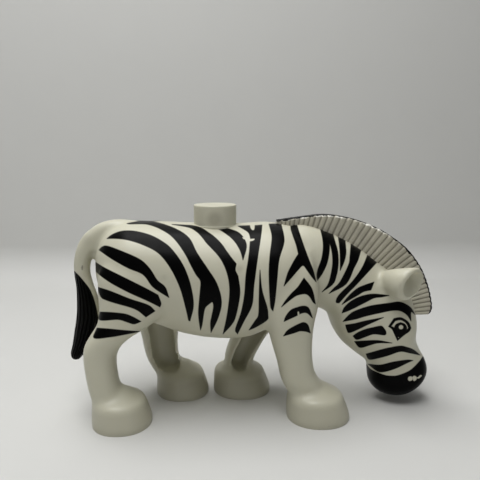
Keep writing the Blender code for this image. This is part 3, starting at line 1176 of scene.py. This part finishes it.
NECK = (
    Stroke(wrap=0.4, runs=(
        ((320.5, 229), (333, 234.5)),
        ((335.2, 242.5), (337.4, 250), (338.3, 258.5), (338, 267), (336.5, 275), (333, 284),
         (322, 292)),
        ((328, 284.5), (331, 274), (332.5, 265), (332.6, 258), (331.8, 251), (329.7, 242.5)),
        ((329.4, 250), (328.6, 256.5), (326.6, 264.5), (322.2, 273.6), (317.3, 280.5)),
        ((316.8, 276), (317.8, 269.5), (321, 261), (322.6, 254), (323.2, 246), (322.5, 238)),
    )),
    Stroke(wrap=0.4, runs=(
        ((338.3, 236.5), (345, 240)),
        ((345.8, 248), (345.9, 254), (344, 262), (340.2, 270.5)),
        ((340.3, 262), (340, 252), (339.2, 244)),
    )),
    Stroke(wrap=0.4, runs=(
        ((351, 244), (361, 250)),
        ((358, 260), (354, 268), (346, 284), (329, 293.5)),
        ((334, 288), (340, 282), (348.5, 265), (350, 256)),
    )),
    Stroke(wrap=0.4, runs=(
        ((368, 254), (377, 262)),
        ((368, 272), (355, 286), (348, 293), (339, 303)),
        ((336, 302), (339, 295), (352, 282), (362, 268)),
    )),
)

HEAD = (
    Stroke(runs=(
        ((342, 304.5),),
        ((347, 298), (353, 292), (360, 287), (374, 282)),
        ((371, 290),),
        ((364, 291.5), (358, 295), (351, 299)),
    )),
    Stroke(runs=(
        ((342, 313),),
        ((344, 308), (350, 302), (358, 297.5), (366, 295), (375, 294), (389, 295.5)),
        ((382, 297), (374, 298), (366, 302), (350, 310)),
    )),
    Stroke(wrap=0.45, runs=(
        ((343, 321.5),),
        ((347, 317), (354, 311.5), (370, 306), (390, 303), (400, 302), (410, 307),
         (415, 314.5)),
        ((411, 312), (411, 321)),
        ((408, 316), (404, 312.5), (399, 310.5), (392, 310.5), (384, 312), (366, 316),
         (356, 319)),
    )),
    Stroke(runs=(
        ((345.5, 325), (355, 323.5), (365, 321), (383.5, 317.5)),
        ((377, 320.5), (368, 324.5), (350.5, 332.5), (347, 330)),
    )),
    Stroke(runs=(
        ((353, 336), (358, 332.5), (365, 329.5), (373, 327.5), (381, 326), (384, 328.5),
         (386, 332), (384.5, 335), (374, 334), (366, 336.5), (357, 339.5)),
    )),
    Stroke(runs=(
        ((354.5, 341.5), (362, 341), (378, 340.5), (392, 343)),
        ((378, 343), (370, 345), (360, 347.5)),
    )),
    Stroke(wrap=0.45, runs=(
        ((366, 354), (380, 350), (388, 348), (400, 346), (406, 347), (413, 349.5),
         (420, 355)),
        ((410, 353), (400, 351.5), (388, 355.5), (374, 359), (368.5, 359)),
    )),
    Stroke(runs=(
        ((368, 364),),
        ((380, 365), (393, 362), (407, 360), (413, 360.5)),
        ((408, 362.5), (394, 369), (380, 372), (371, 366.5)),
    )),
)

EYE = (
    Stroke(wrap=0.0, runs=(
        ((388.5, 326.5), (394, 318.5)),
        ((400, 317.5), (405, 319.5), (409, 323), (411, 328)),
        ((409, 331.5), (404, 335), (397.5, 340.5)),
        ((394, 333), (392, 329)),
    )),
    Stroke(paint=Paint.BARE, wrap=0.0, runs=(
        ((391, 326.3), (395.2, 320.8)),
        ((400, 319.8), (404, 321.3), (407, 324.3), (408.5, 328)),
        ((404, 333), (398.3, 338.5)),
        ((395.5, 331), (393.5, 327.5)),
    )),
    Stroke(wrap=0.0, runs=(
        ((400.5, 322.5), (405, 324.3), (406.8, 328.5), (404.5, 332.5), (397.7, 340)),
        ((395, 332), (394.2, 328.5), (396, 324.5)),
    )),
    Stroke(paint=Paint.BARE, wrap=0.0, runs=(
        ((401, 324.4), (403.4, 326), (403.2, 328.6), (401, 329.7), (398.8, 328.6),
         (398.6, 326)),
    )),
    Stroke(paint=Paint.BARE, wrap=0.0, runs=(
        ((398.5, 336.7), (399.3, 337.5), (398.5, 338.3), (397.7, 337.5)),
    )),
)

MUZZLE = (
    Stroke(wrap=3.0, runs=(
        ((366.5, 364), (371, 369.5), (384, 375), (391, 376), (398, 375.5), (410, 370.5),
         (419, 362), (424, 355)),
        ((450, 350),),
        ((450, 405),),
        ((357, 405),),
        ((357, 364),),
    )),
    Stroke(paint=Paint.BARE, wrap=0.3, grow=0.5, runs=(
        ((408, 379.2), (408.6, 377.2), (410.6, 376.4), (412.2, 377.2), (412.4, 379.4),
         (411, 380.6), (409, 380.7)),
    )),
    Stroke(paint=Paint.BARE, wrap=0.3, grow=0.5, runs=(
        ((412.4, 377.2), (413.8, 376), (415.4, 376.2), (416.6, 377.4), (416.2, 379.6),
         (413.8, 380.8)),
    )),
    Stroke(paint=Paint.BARE, wrap=0.3, grow=0.5, runs=(
        ((416.4, 377.8), (418.4, 377), (420.3, 375.2), (421.7, 375.6), (420.6, 377),
         (418.4, 378.4)),
    )),
)

TUFT = Stroke(wrap=3.0, runs=(
    ((75, 272), (80, 277), (85, 283), (90, 290), (94, 300), (97, 312), (98, 323),
     (95, 333), (90, 345), (86, 365)),
    ((60, 365),),
    ((60, 268),),
    ((73, 271),),
))

SCUFFS = (
    Stroke(runs=(((81, 266), (83, 265.5), (82.6, 270.5), (81.4, 270)),)),
    Stroke(runs=(((83.2, 250), (84.6, 250.6), (84, 254)),)),
    Stroke(runs=(((159.6, 358.6), (160.8, 358.8), (160.2, 360)),)),
    Stroke(runs=(((111.4, 434.6), (112.8, 434.8), (112, 435.8)),)),
    Stroke(runs=(((327, 426.8), (330.4, 426.6), (330.2, 427.8), (327.4, 427.8)),)),
    Stroke(runs=(((330.6, 417.6), (331.8, 417.8), (331.2, 418.8)),)),
    Stroke(runs=(((365.5, 270.5), (370, 268.6), (370.4, 269.4), (366, 271)),)),
)

# x, y, radius, strength
SMUDGES = (
    (239.6, 268.8, 3.2, 0.6),
    (163.8, 277.4, 3.0, 0.35),
    (85.5, 240.0, 5.0, 0.3),
)


class Printer:
    """Lays the print on a surface, in the photograph's pixels, the same on both sides."""

    reach: ClassVar[float] = 7.0
    fade: ClassVar[float] = 30.0
    smudge_reach: ClassVar[float] = 1.5
    # darkening low on the hooves: partly grime, partly painted shade of the hoof walls near the
    # floor
    grime_and_shade: ClassVar[float] = 0.55
    grime_and_shade_heights: ClassVar[Point] = (0.0038, 0.0054)
    tuft_front: ClassVar[float] = -34.0
    tuft_half_width: ClassVar[float] = 0.0032

    def __init__(self, points: np.ndarray, normals: np.ndarray) -> None:
        """Turns the surface's points into the picture's.

        Args:
            points: points of the surface.
            normals: the way that each of them faces.
        """
        mirrored = points.copy()
        mirrored[:, 1] = -np.abs(points[:, 1])
        facing = normals.copy()
        facing[:, 1] *= np.where(points[:, 1] > 0.0, -1.0, 1.0)
        sight = np.array(VIEW.location) - mirrored
        sight /= np.linalg.norm(sight, axis=1, keepdims=True)
        self.points = points
        self.picture = VIEW.project(mirrored)
        self.facing = np.einsum("ij,ij->i", facing, sight)

    def distance(self, stroke: Stroke) -> np.ndarray:
        """Measures how far the points lie from a stroke's edge.

        Args:
            stroke: the stroke.

        Returns:
            A distance for each point in pixels, below 0 inside the stroke.
        """
        outline = stroke.outline()
        low = outline.min(axis=0) - self.reach
        high = outline.max(axis=0) + self.reach
        close = np.all((self.picture > low) & (self.picture < high), axis=1)
        result = np.full(len(self.picture), self.reach)
        result[close] = distance_inside(self.picture[close], outline) - stroke.grow
        return np.maximum(result, (-self.facing - stroke.wrap) * self.fade)

    def laid(self, strokes: tuple[Stroke, ...]) -> np.ndarray:
        """Lays strokes one over another.

        Args:
            strokes: the strokes, black or bare, in order.

        Returns:
            The distance of each point from the edge of all the black, below 0 in it.
        """
        field = np.full(len(self.picture), self.reach)
        for stroke in strokes:
            distance = self.distance(stroke)
            if stroke.paint is Paint.BLACK:
                field = np.minimum(field, distance)
            else:
                field = np.maximum(field, -distance)
        return np.clip(field, -self.reach, self.reach)

    def soiled_and_shaded(self, smudges: tuple[Row, ...]) -> np.ndarray:
        """Soils the surface with smudges, and darkens it low on the hooves: partly grime,
        partly painted shade near the floor.

        Args:
            smudges: the place, radius and strength of each smudge.

        Returns:
            How much each point is darkened by smudges, grime and painted shade, from 0 to 1.
        """
        # painted shade with some grime: full below the first height, gone above the second
        soil_and_shade = np.interp(self.points[:, 2], (0.0, *self.grime_and_shade_heights), (1.0, 1.0, 0.0))
        soil_and_shade *= self.grime_and_shade
        for x, y, radius, strength in smudges:
            away = np.linalg.norm(self.picture - (x, y), axis=1)
            share = np.clip(self.smudge_reach - away / radius, 0.0, 1.0)
            soil_and_shade = np.maximum(soil_and_shade, strength * share)
        return soil_and_shade

    def is_tail(self) -> np.ndarray:
        """Which points belong to the tail rather than to the body or a leg."""
        front = DRAWING.place((self.tuft_front, 0.0, 0.0))[0]
        return ((self.points[:, 0] < front)
                & (np.abs(self.points[:, 1]) < self.tuft_half_width))

    def stripes(self) -> np.ndarray:
        """Lays the whole print: body, neck, head, eye, muzzle and tuft.

        Returns:
            The distance of each point from the edge of the black, below 0 in it.
        """
        field = self.laid(FLANK + NECK + HEAD + EYE + MUZZLE)
        tuft = np.clip(self.distance(TUFT), -self.reach, self.reach)
        return np.where(self.is_tail(), tuft, field)


@dataclass
class Surface:
    """A triangle mesh as arrays, which can be cut finer where it needs to be."""

    points: np.ndarray
    normals: np.ndarray
    triangles: np.ndarray
    # how alike the two ends of an edge face at least, where its middle is lifted
    alike: ClassVar[float] = 0.8
    lift: ClassVar[float] = 0.75

    @classmethod
    def of(cls, item: bpy.types.Object) -> "Surface":
        """Takes the surface of an object.

        Args:
            item: the object, with its modifiers.

        Returns:
            The surface.
        """
        held = item.evaluated_get(bpy.context.evaluated_depsgraph_get())
        mesh = bpy.data.meshes.new_from_object(held)
        mesh.calc_loop_triangles()
        count = len(mesh.vertices)
        points = np.empty(count * 3)
        normals = np.empty(count * 3)
        triangles = np.empty(len(mesh.loop_triangles) * 3, dtype=np.int32)
        mesh.vertices.foreach_get("co", points)
        mesh.vertices.foreach_get("normal", normals)
        mesh.loop_triangles.foreach_get("vertices", triangles)
        bpy.data.meshes.remove(mesh)
        return cls(points.reshape(-1, 3), normals.reshape(-1, 3), triangles.reshape(-1, 3))

    def edge_lengths(self) -> np.ndarray:
        """Longest edge of each triangle, in metres."""
        corners = self.points[self.triangles]
        spans = corners - np.roll(corners, -1, axis=1)
        return np.linalg.norm(spans, axis=2).max(axis=1)

    def cut(self, chosen: np.ndarray) -> "Surface":
        """Cuts the chosen triangles in four and their neighbours to match.

        Args:
            chosen: a true or false for each triangle.

        Returns:
            The finer surface.
        """
        pairs = np.stack([self.triangles, np.roll(self.triangles, -1, axis=1)], axis=2)
        edges, numbers = np.unique(np.sort(pairs.reshape(-1, 2), axis=1), axis=0,
                                   return_inverse=True)
        numbers = numbers.reshape(-1, 3)
        parted = np.zeros(len(edges), dtype=bool)
        parted[numbers[chosen].ravel()] = True
        first, second = edges[parted].T
        points, normals = self.between(first, second)
        added = np.full(len(edges), -1)
        added[parted] = np.arange(len(points)) + len(self.points)
        middles = added[numbers]
        count = (middles >= 0).sum(axis=1)
        made = [self.triangles[count == 0]]
        whole, middle = self.triangles[count == 3], middles[count == 3]
        made.append(middle)
        for turn in range(3):
            corner = np.roll(whole, -turn, axis=1)[:, 0]
            after = np.roll(middle, -turn, axis=1)
            made.append(np.stack([corner, after[:, 0], after[:, 2]], axis=1))
            picked = (count == 1) & (middles[:, turn] >= 0)
            a, b, c = np.roll(self.triangles[picked], -turn, axis=1).T
            m = middles[picked, turn]
            made += [np.stack([a, m, c], axis=1), np.stack([m, b, c], axis=1)]
            picked = (count == 2) & (middles[:, turn] < 0)
            a, b, c = np.roll(self.triangles[picked], -turn - 1, axis=1).T
            m, n, _ = np.roll(middles[picked], -turn - 1, axis=1).T
            made += [np.stack([m, b, n], axis=1), np.stack([a, m, n], axis=1),
                     np.stack([a, n, c], axis=1)]
        return Surface(np.vstack([self.points, points]), np.vstack([self.normals, normals]),
                       np.vstack(made))

    def between(self, first: np.ndarray, second: np.ndarray) -> tuple[np.ndarray, np.ndarray]:
        """Finds points half way along edges, lifted to the curve of the surface.

        Args:
            first: number of each edge's first point.
            second: number of its second point.

        Returns:
            The points and the way that each faces.
        """
        middle = (self.points[first] + self.points[second]) / 2
        lift = np.zeros_like(middle)
        for end in (first, second):
            off = np.einsum("ij,ij->i", middle - self.points[end], self.normals[end])
            lift -= off[:, None] * self.normals[end] / 2
        alike = np.einsum("ij,ij->i", self.normals[first], self.normals[second])
        middle += np.where(alike[:, None] > self.alike, self.lift * lift, 0.0)
        middle[:, 2] = np.maximum(middle[:, 2], 0.0)
        facing = self.normals[first] + self.normals[second]
        facing /= np.maximum(np.linalg.norm(facing, axis=1, keepdims=True), 1e-9)
        return middle, facing

    def object(self, name: str, hard_degrees: float) -> bpy.types.Object:
        """Makes it an object.

        Args:
            name: the object's name.
            hard_degrees: the turn from which an edge is left hard.

        Returns:
            The object.
        """
        mesh = bpy.data.meshes.new(name)
        mesh.from_pydata(self.points.tolist(), [], self.triangles.tolist())
        smoothed(mesh, hard_degrees)
        return linked(name, mesh)


def dressed(item: bpy.types.Object, material: bpy.types.Material) -> bpy.types.Object:
    """Gives a piece its finish and its place in the figure, and reports it.

    Args:
        item: the piece.
        material: its finish.

    Returns:
        The piece.
    """
    item.data.materials.clear()
    item.data.materials.append(material)
    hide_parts(NODE)
    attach(item, "root")
    LOG.info("%s: %d faces", item.name, len(item.data.polygons))
    return item


@dataclass(frozen=True)
class Moulding:
    """Body, neck, head, ears, tail and legs as one smooth form."""

    # how finely the forms are run together, in metres, and how often they are softened:
    # first with the legs whole, then with their hollows out
    first_voxel: float = 0.00046
    first_rounds: int = 4
    second_voxel: float = 0.00050
    second_rounds: int = 2
    smoothing: float = 0.5
    finer_rounds: int = 3
    fine_pixels: float = 0.35
    blunt_pixels: float = 0.12
    near_share: float = 0.8
    hard_degrees: float = 45.0

    def build(self, material: bpy.types.Material) -> bpy.types.Object:
        """Builds, paints and dresses it.

        Args:
            material: its finish.

        Returns:
            The finished piece.
        """
        surface = self.refined(self.moulded())
        item = surface.object("painted_body", self.hard_degrees)
        printer = Printer(surface.points, surface.normals)
        stripes = printer.stripes()
        keep_number(item, "print", stripes)
        keep_number(item, "scuff", printer.laid(SCUFFS))
        # real smudges, with painted shade low on the hooves
        keep_number(item, "stain_and_shade", printer.soiled_and_shaded(SMUDGES))
        tail = printer.is_tail()
        keep_number(item, "tuft", np.where(tail & (stripes < 0.0), 1.0, 0.0))
        keep_number(item, "strand", np.where(tail, Tail().strand(surface.points), 0.0))
        return dressed(item, material)

    def moulded(self) -> Surface:
        """Runs the forms together and takes the hollows out.

        Returns:
            The plain surface, before it is cut finer.
        """
        forms = [Trunk().mesh(), NeckAndHead().mesh(), Tail().mesh()]
        ears = [Ear(side) for side in Side]
        forms += [ear.mesh() for ear in ears]
        for leg in LEGS:
            forms += [leg.shaft(), leg.hoof()]
        item = placed("form", forms)
        hollows = [placed("hollow", [leg.hollow()]) for leg in LEGS]
        cuts = [
            placed("cups", [ear.cup() for ear in ears]),
            placed("ground", [self.ground()]),
            placed("recesses", [leg.recess() for leg in LEGS]),
        ]
        self.blend(item, self.first_voxel, self.first_rounds)
        for hollow in hollows:
            self.take_out(item, hollow)
        self.blend(item, self.second_voxel, self.second_rounds)
        for cut in cuts:
            self.take_out(item, cut)
        surface = Surface.of(item)
        for used in [item, *hollows, *cuts]:
            bpy.data.objects.remove(used, do_unlink=True)
        return surface

    def ground(self) -> Form:
        """Builds a block that reaches up to the ground from below.

        Returns:
            The closed form.
        """
        half = DRAWING.length
        mesh = bmesh.new()
        bmesh.ops.create_cube(mesh, size=2 * half)
        bmesh.ops.translate(mesh, verts=mesh.verts, vec=(0.0, 0.0, -half))
        return mesh

    def blend(self, item: bpy.types.Object, voxel: float, rounds: int) -> None:
        """Runs the forms of an object together and softens them.

        Args:
            item: the object.
            voxel: how finely they are run together, in metres.
            rounds: how often they are softened.
        """
        step = item.modifiers.new("blend", "REMESH")
        step.mode = "VOXEL"
        step.voxel_size = voxel
        soften = item.modifiers.new("soften", "SMOOTH")
        soften.factor = self.smoothing
        soften.iterations = rounds

    def take_out(self, item: bpy.types.Object, tool: bpy.types.Object) -> None:
        """Takes one form out of another.

        Args:
            item: the object that is cut.
            tool: the object that is taken out.
        """
        step = item.modifiers.new("take_out", "BOOLEAN")
        step.operation = "DIFFERENCE"
        step.solver = "EXACT"
        step.object = tool

    def refined(self, surface: Surface) -> Surface:
        """Cuts a surface finer where the print's edge would otherwise come out blunt.

        Args:
            surface: the surface.

        Returns:
            The finer surface.
        """
        for _ in range(self.finer_rounds):
            field = Printer(surface.points, surface.normals).stripes()
            size = surface.edge_lengths() * VIEW.pixels_per_metre
            near = np.abs(field)[surface.triangles].min(axis=1)
            close = np.flatnonzero((near < self.near_share * size) & (size > self.fine_pixels))
            corners = surface.triangles[close]
            blunt = np.zeros(len(close))
            for first, second in zip(corners.T, np.roll(corners, -1, axis=1).T):
                straight = (field[first] + field[second]) / 2
                drawn = Printer(*surface.between(first, second)).stripes()
                blunt = np.maximum(blunt, np.abs(drawn - straight))
            chosen = np.zeros(len(surface.triangles), dtype=bool)
            chosen[close[blunt > self.blunt_pixels]] = True
            surface = surface.cut(chosen)
            LOG.info("surface: %d triangles", len(surface.triangles))
        return surface


@dataclass(frozen=True)
class Mane:
    """The upright plate of the mane, ribbed on both faces."""

    thickness: float = 0.0026
    ribs: int = 38
    relief: float = 0.00025
    groove_power: int = 3
    bevel: float = 0.0003
    hard_degrees: float = 40.0
    curve_steps: int = 24
    steps_per_rib: int = 8
    steps_up: int = 10
    # share of the way along the outer edge, width of a rib there against the others
    rib_widths: tuple[Point, ...] = ((0.0, 4.2), (0.15, 5.5), (0.3, 6.8), (0.6, 6.6),
                                     (0.8, 5.4), (1.0, 5.0))
    # share of the way along the outer edge, millimetres that the black comes down there
    ink_widths: tuple[Point, ...] = ((0.0, 0.25), (0.2, 0.12), (0.5, 0.1), (0.62, 0.32),
                                     (0.8, 0.4), (1.0, 0.38))
    # share of the way along the outer edge, how worn the ribs' ends are there, which also sets
    # their painted highlight
    wear_and_highlight: tuple[Point, ...] = ((0.0, 0.0), (0.08, 1.0), (0.4, 1.0), (0.55, 0.4), (0.62, 0.0),
                               (1.0, 0.0))
    # outer x, z, inner x, z
    rows: tuple[Row, ...] = (
        (4.4, 42.5, 4.8, 40.4),
        (9.7, 43.2, 9.0, 39.9),
        (14.6, 43.7, 12.9, 38.7),
        (18.8, 43.3, 16.2, 37.5),
        (23.5, 42.1, 19.8, 35.8),
        (28.1, 40.1, 23.2, 33.7),
        (32.8, 37.0, 26.6, 31.0),
        (35.3, 34.6, 28.5, 29.4),
        (37.5, 31.6, 30.4, 27.3),
        (38.8, 29.0, 31.6, 25.6),
        (39.8, 26.3, 32.8, 23.9),
        (40.5, 23.5, 33.6, 22.4),
        (40.69, 21.9, 34.1, 21.2),
        (40.55, 21.1, 34.25, 20.75),
        (40.0, 20.35, 34.4, 20.3),
    )

    @property
    def ring(self) -> int:
        """Number of points in a section, up one face and down the other."""
        return 2 * (self.steps_up + 2)

    def stations(self) -> np.ndarray:
        """Spreads sections along the plate, at even steps of each rib.

        Returns:
            Outer x, z and inner x, z of the plate at each section.
        """
        fine = through(self.rows, self.curve_steps)
        steps = np.linalg.norm(np.diff(fine[:, :2], axis=0), axis=1)
        travel = np.cumsum(steps)
        widths = np.interp(travel / travel[-1], *np.transpose(self.rib_widths))
        ribs = np.concatenate([[0.0], np.cumsum(steps / widths)])
        even = np.linspace(0.0, ribs[-1], self.ribs * self.steps_per_rib + 1)
        return np.stack([np.interp(even, ribs, column) for column in fine.T], axis=1)

    def groove(self, index: int) -> float:
        """How deep between two ribs a section lies, from 0 to 1."""
        turn = index / self.steps_per_rib * 2 * math.pi
        return (0.5 + 0.5 * math.cos(turn)) ** self.groove_power

    def section(self, station: np.ndarray,
                groove: float) -> tuple[list[np.ndarray], list[float]]:
        """Draws a section across the plate.

        Args:
            station: outer x, z and inner x, z of the plate there.
            groove: how deep between two ribs it lies.

        Returns:
            Its points, and how many millimetres each lies from the outer edge.
        """
        outer_x, outer_z, inner_x, inner_z = station
        outer = DRAWING.place((outer_x, 0.0, outer_z))
        inner = DRAWING.place((inner_x, 0.0, inner_z))
        height = np.linalg.norm(outer - inner)
        shares = np.append(np.linspace(0.0, 1.0 - self.bevel / height, self.steps_up + 1), 1.0)
        half = self.thickness / 2 - self.relief * groove
        points, depths = [], []
        for side in Side:
            for share in shares if side is Side.RIGHT else shares[::-1]:
                point = inner + (outer - inner) * share
                point[1] = side.value * (half - self.bevel * (share == 1.0))
                points.append(point)
                depths.append((1.0 - share) * height * MILLIMETRES)
        return points, depths

    def faces(self, count: int) -> list[Row]:
        """Joins the sections and closes the two ends.

        Args:
            count: the number of sections.

        Returns:
            The numbers of each face's points.
        """
        faces = []
        for start in range(0, (count - 1) * self.ring, self.ring):
            for corner in range(self.ring):
                after = (corner + 1) % self.ring
                faces.append((start + corner, start + self.ring + corner,
                              start + self.ring + after, start + after))
        faces.append(tuple(range(self.ring)))
        faces.append(tuple(reversed(range((count - 1) * self.ring, count * self.ring))))
        return faces

    def build(self, material: bpy.types.Material) -> bpy.types.Object:
        """Builds and dresses it.

        Args:
            material: its finish.

        Returns:
            The finished piece.
        """
        stations = self.stations()
        points, grooves, depths = [], [], []
        for index, station in enumerate(stations):
            groove = self.groove(index)
            ring, ring_depths = self.section(station, groove)
            points += ring
            depths += ring_depths
            grooves += [groove] * self.ring
        mesh = bpy.data.meshes.new("mane")
        mesh.from_pydata([tuple(point) for point in points], [], self.faces(len(stations)))
        smoothed(mesh, self.hard_degrees)
        item = linked("mane", mesh)
        along = np.repeat(np.linspace(0.0, 1.0, len(stations)), self.ring)
        inked = np.interp(along, *np.transpose(self.ink_widths))
        keep_number(item, "groove", grooves)
        keep_number(item, "edge", depths)
        keep_number(item, "ink", np.array(depths) - inked)
        # wear of the rib ends, which also carries their painted highlight
        keep_number(item, "worn_and_lit", np.interp(along, *np.transpose(self.wear_and_highlight)))
        return dressed(item, material)


@dataclass(frozen=True)
class Button:
    """The round building-toy button on the back, with painted shade on its side: a soft dark
    patch.
    """

    x: float = -9.3
    back: float = 41.6
    radius: float = 0.0047
    height: float = 0.0045
    edge: float = 0.0003
    fillet: float = 0.00015
    sunk: float = 0.001
    sides: int = 96
    steps_up: int = 12
    turn_steps: int = 6
    hard_degrees: float = 40.0
    # painted shade: a soft dark patch on the button's side that faces the camera
    shade_spot: Point = (214.5, 219.5)
    shade_spot_radius: float = 4.0
    shade_spot_fade: float = 6.0

    def profile(self) -> list[Point]:
        """Draws its outline, from inside the back up to the rim of its top.

        Returns:
            The radius and height of each ring.
        """
        foot = self.radius + self.fillet
        shoulder = self.height - self.edge
        wall = shoulder - self.fillet
        points = [(foot, -self.sunk)]
        points += [(foot - onwards, aside)
                   for onwards, aside in quarter(self.fillet, self.turn_steps)]
        points += [(self.radius, self.fillet + wall * step / self.steps_up)
                   for step in range(1, self.steps_up)]
        points += [(self.radius - aside, shoulder + onwards)
                   for onwards, aside in quarter(self.edge, self.turn_steps)]
        return points

    def build(self, material: bpy.types.Material) -> bpy.types.Object:
        """Builds and dresses it.

        Args:
            material: its finish.

        Returns:
            The finished piece.
        """
        foot = DRAWING.place((self.x, 0.0, self.back))
        rings = [oval(foot + np.array([0.0, 0.0, height]), (radius, 0.0, 0.0),
                      (0.0, radius, 0.0), points=self.sides)
                 for radius, height in self.profile()]
        item = placed("back_button", [skin(rings)])
        smoothed(item.data, self.hard_degrees)
        points = np.array([vertex.co for vertex in item.data.vertices])
        far = np.full(len(points), Printer.reach)
        keep_number(item, "print", far)
        keep_number(item, "scuff", far)
        # painted shade, darkest at the patch's middle, only on the side that faces the camera
        away = np.linalg.norm(VIEW.project(points) - np.array(self.shade_spot), axis=1)
        shaded_spot = np.clip(1.0 - (away - self.shade_spot_radius) / self.shade_spot_fade, 0.0, 1.0)
        keep_number(item, "stain_and_shade", np.where(points[:, 1] < 0.0, shaded_spot, 0.0))
        return dressed(item, material)


@dataclass(frozen=True)
class Lamp:
    """One soft oblong lamp: where it hangs, the point that it faces, its size and watts."""

    name: str
    place: Place
    aim: Place
    size: Point
    power: float

    def build(self) -> None:
        """Hangs it up."""
        data = bpy.data.lights.new(self.name, "AREA")
        data.shape = "RECTANGLE"
        data.size, data.size_y = self.size
        data.energy = self.power
        item = linked(self.name, data)
        item.location = self.place
        line = np.array(self.aim) - np.array(self.place)
        item.rotation_euler = (math.acos(-line[2] / np.linalg.norm(line)), 0.0,
                               math.atan2(line[1], line[0]) - math.pi / 2)


@dataclass(frozen=True)
class Studio:
    """Pale board, curved up behind the figure, a soft lamp and a little light all round."""

    half_width: float = 0.6
    front: float = -0.35
    bend: float = 0.12
    bend_radius: float = 0.016
    bend_steps: int = 24
    height: float = 0.6
    lamp: Lamp = Lamp("overhead", place=(-0.06, 0.05, 0.36), aim=(-0.05, 0.05, 0.0),
                      size=(0.6, 0.19), power=2.15)
    air: Colour = (1.0, 1.0, 0.99, 1.0)
    air_strength: float = 0.15

    def board(self, material: bpy.types.Material) -> None:
        """Builds the board under and behind the figure.

        Args:
            material: its finish.
        """
        profile = [(self.front, 0.0)]
        profile += [(self.bend + onwards, aside)
                    for onwards, aside in quarter(self.bend_radius, self.bend_steps)]
        profile.append((self.bend + self.bend_radius, self.height))
        points = [(x, y, z) for y, z in profile for x in (-self.half_width, self.half_width)]
        faces = [(at, at + 1, at + 3, at + 2) for at in range(0, len(points) - 2, 2)]
        mesh = bpy.data.meshes.new("board")
        mesh.from_pydata(points, [], faces)
        mesh.polygons.foreach_set("use_smooth", [True] * len(mesh.polygons))
        mesh.materials.append(material)
        item = linked("board", mesh)

    def build(self) -> None:
        """Sets the studio up."""
        self.board(PaleBoard().material())
        self.lamp.build()
        bpy.context.scene.view_settings.view_transform = "Standard"
        world = bpy.data.worlds.new("studio")
        world.use_nodes = True
        background = world.node_tree.nodes["Background"]
        background.inputs["Color"].default_value = self.air
        background.inputs["Strength"].default_value = self.air_strength
        bpy.context.scene.world = world


def main() -> None:
    """Builds the pieces and the studio, in order."""
    logging.basicConfig(level=logging.INFO, format="%(name)s: %(message)s")
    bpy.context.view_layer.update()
    plastic = PaintedPlastic().material()
    Moulding().build(plastic)
    Mane().build(SilverPaint().material())
    Button().build(plastic)
    VIEW.build()
    Studio().build()


if __name__ == "__main__":
    main()
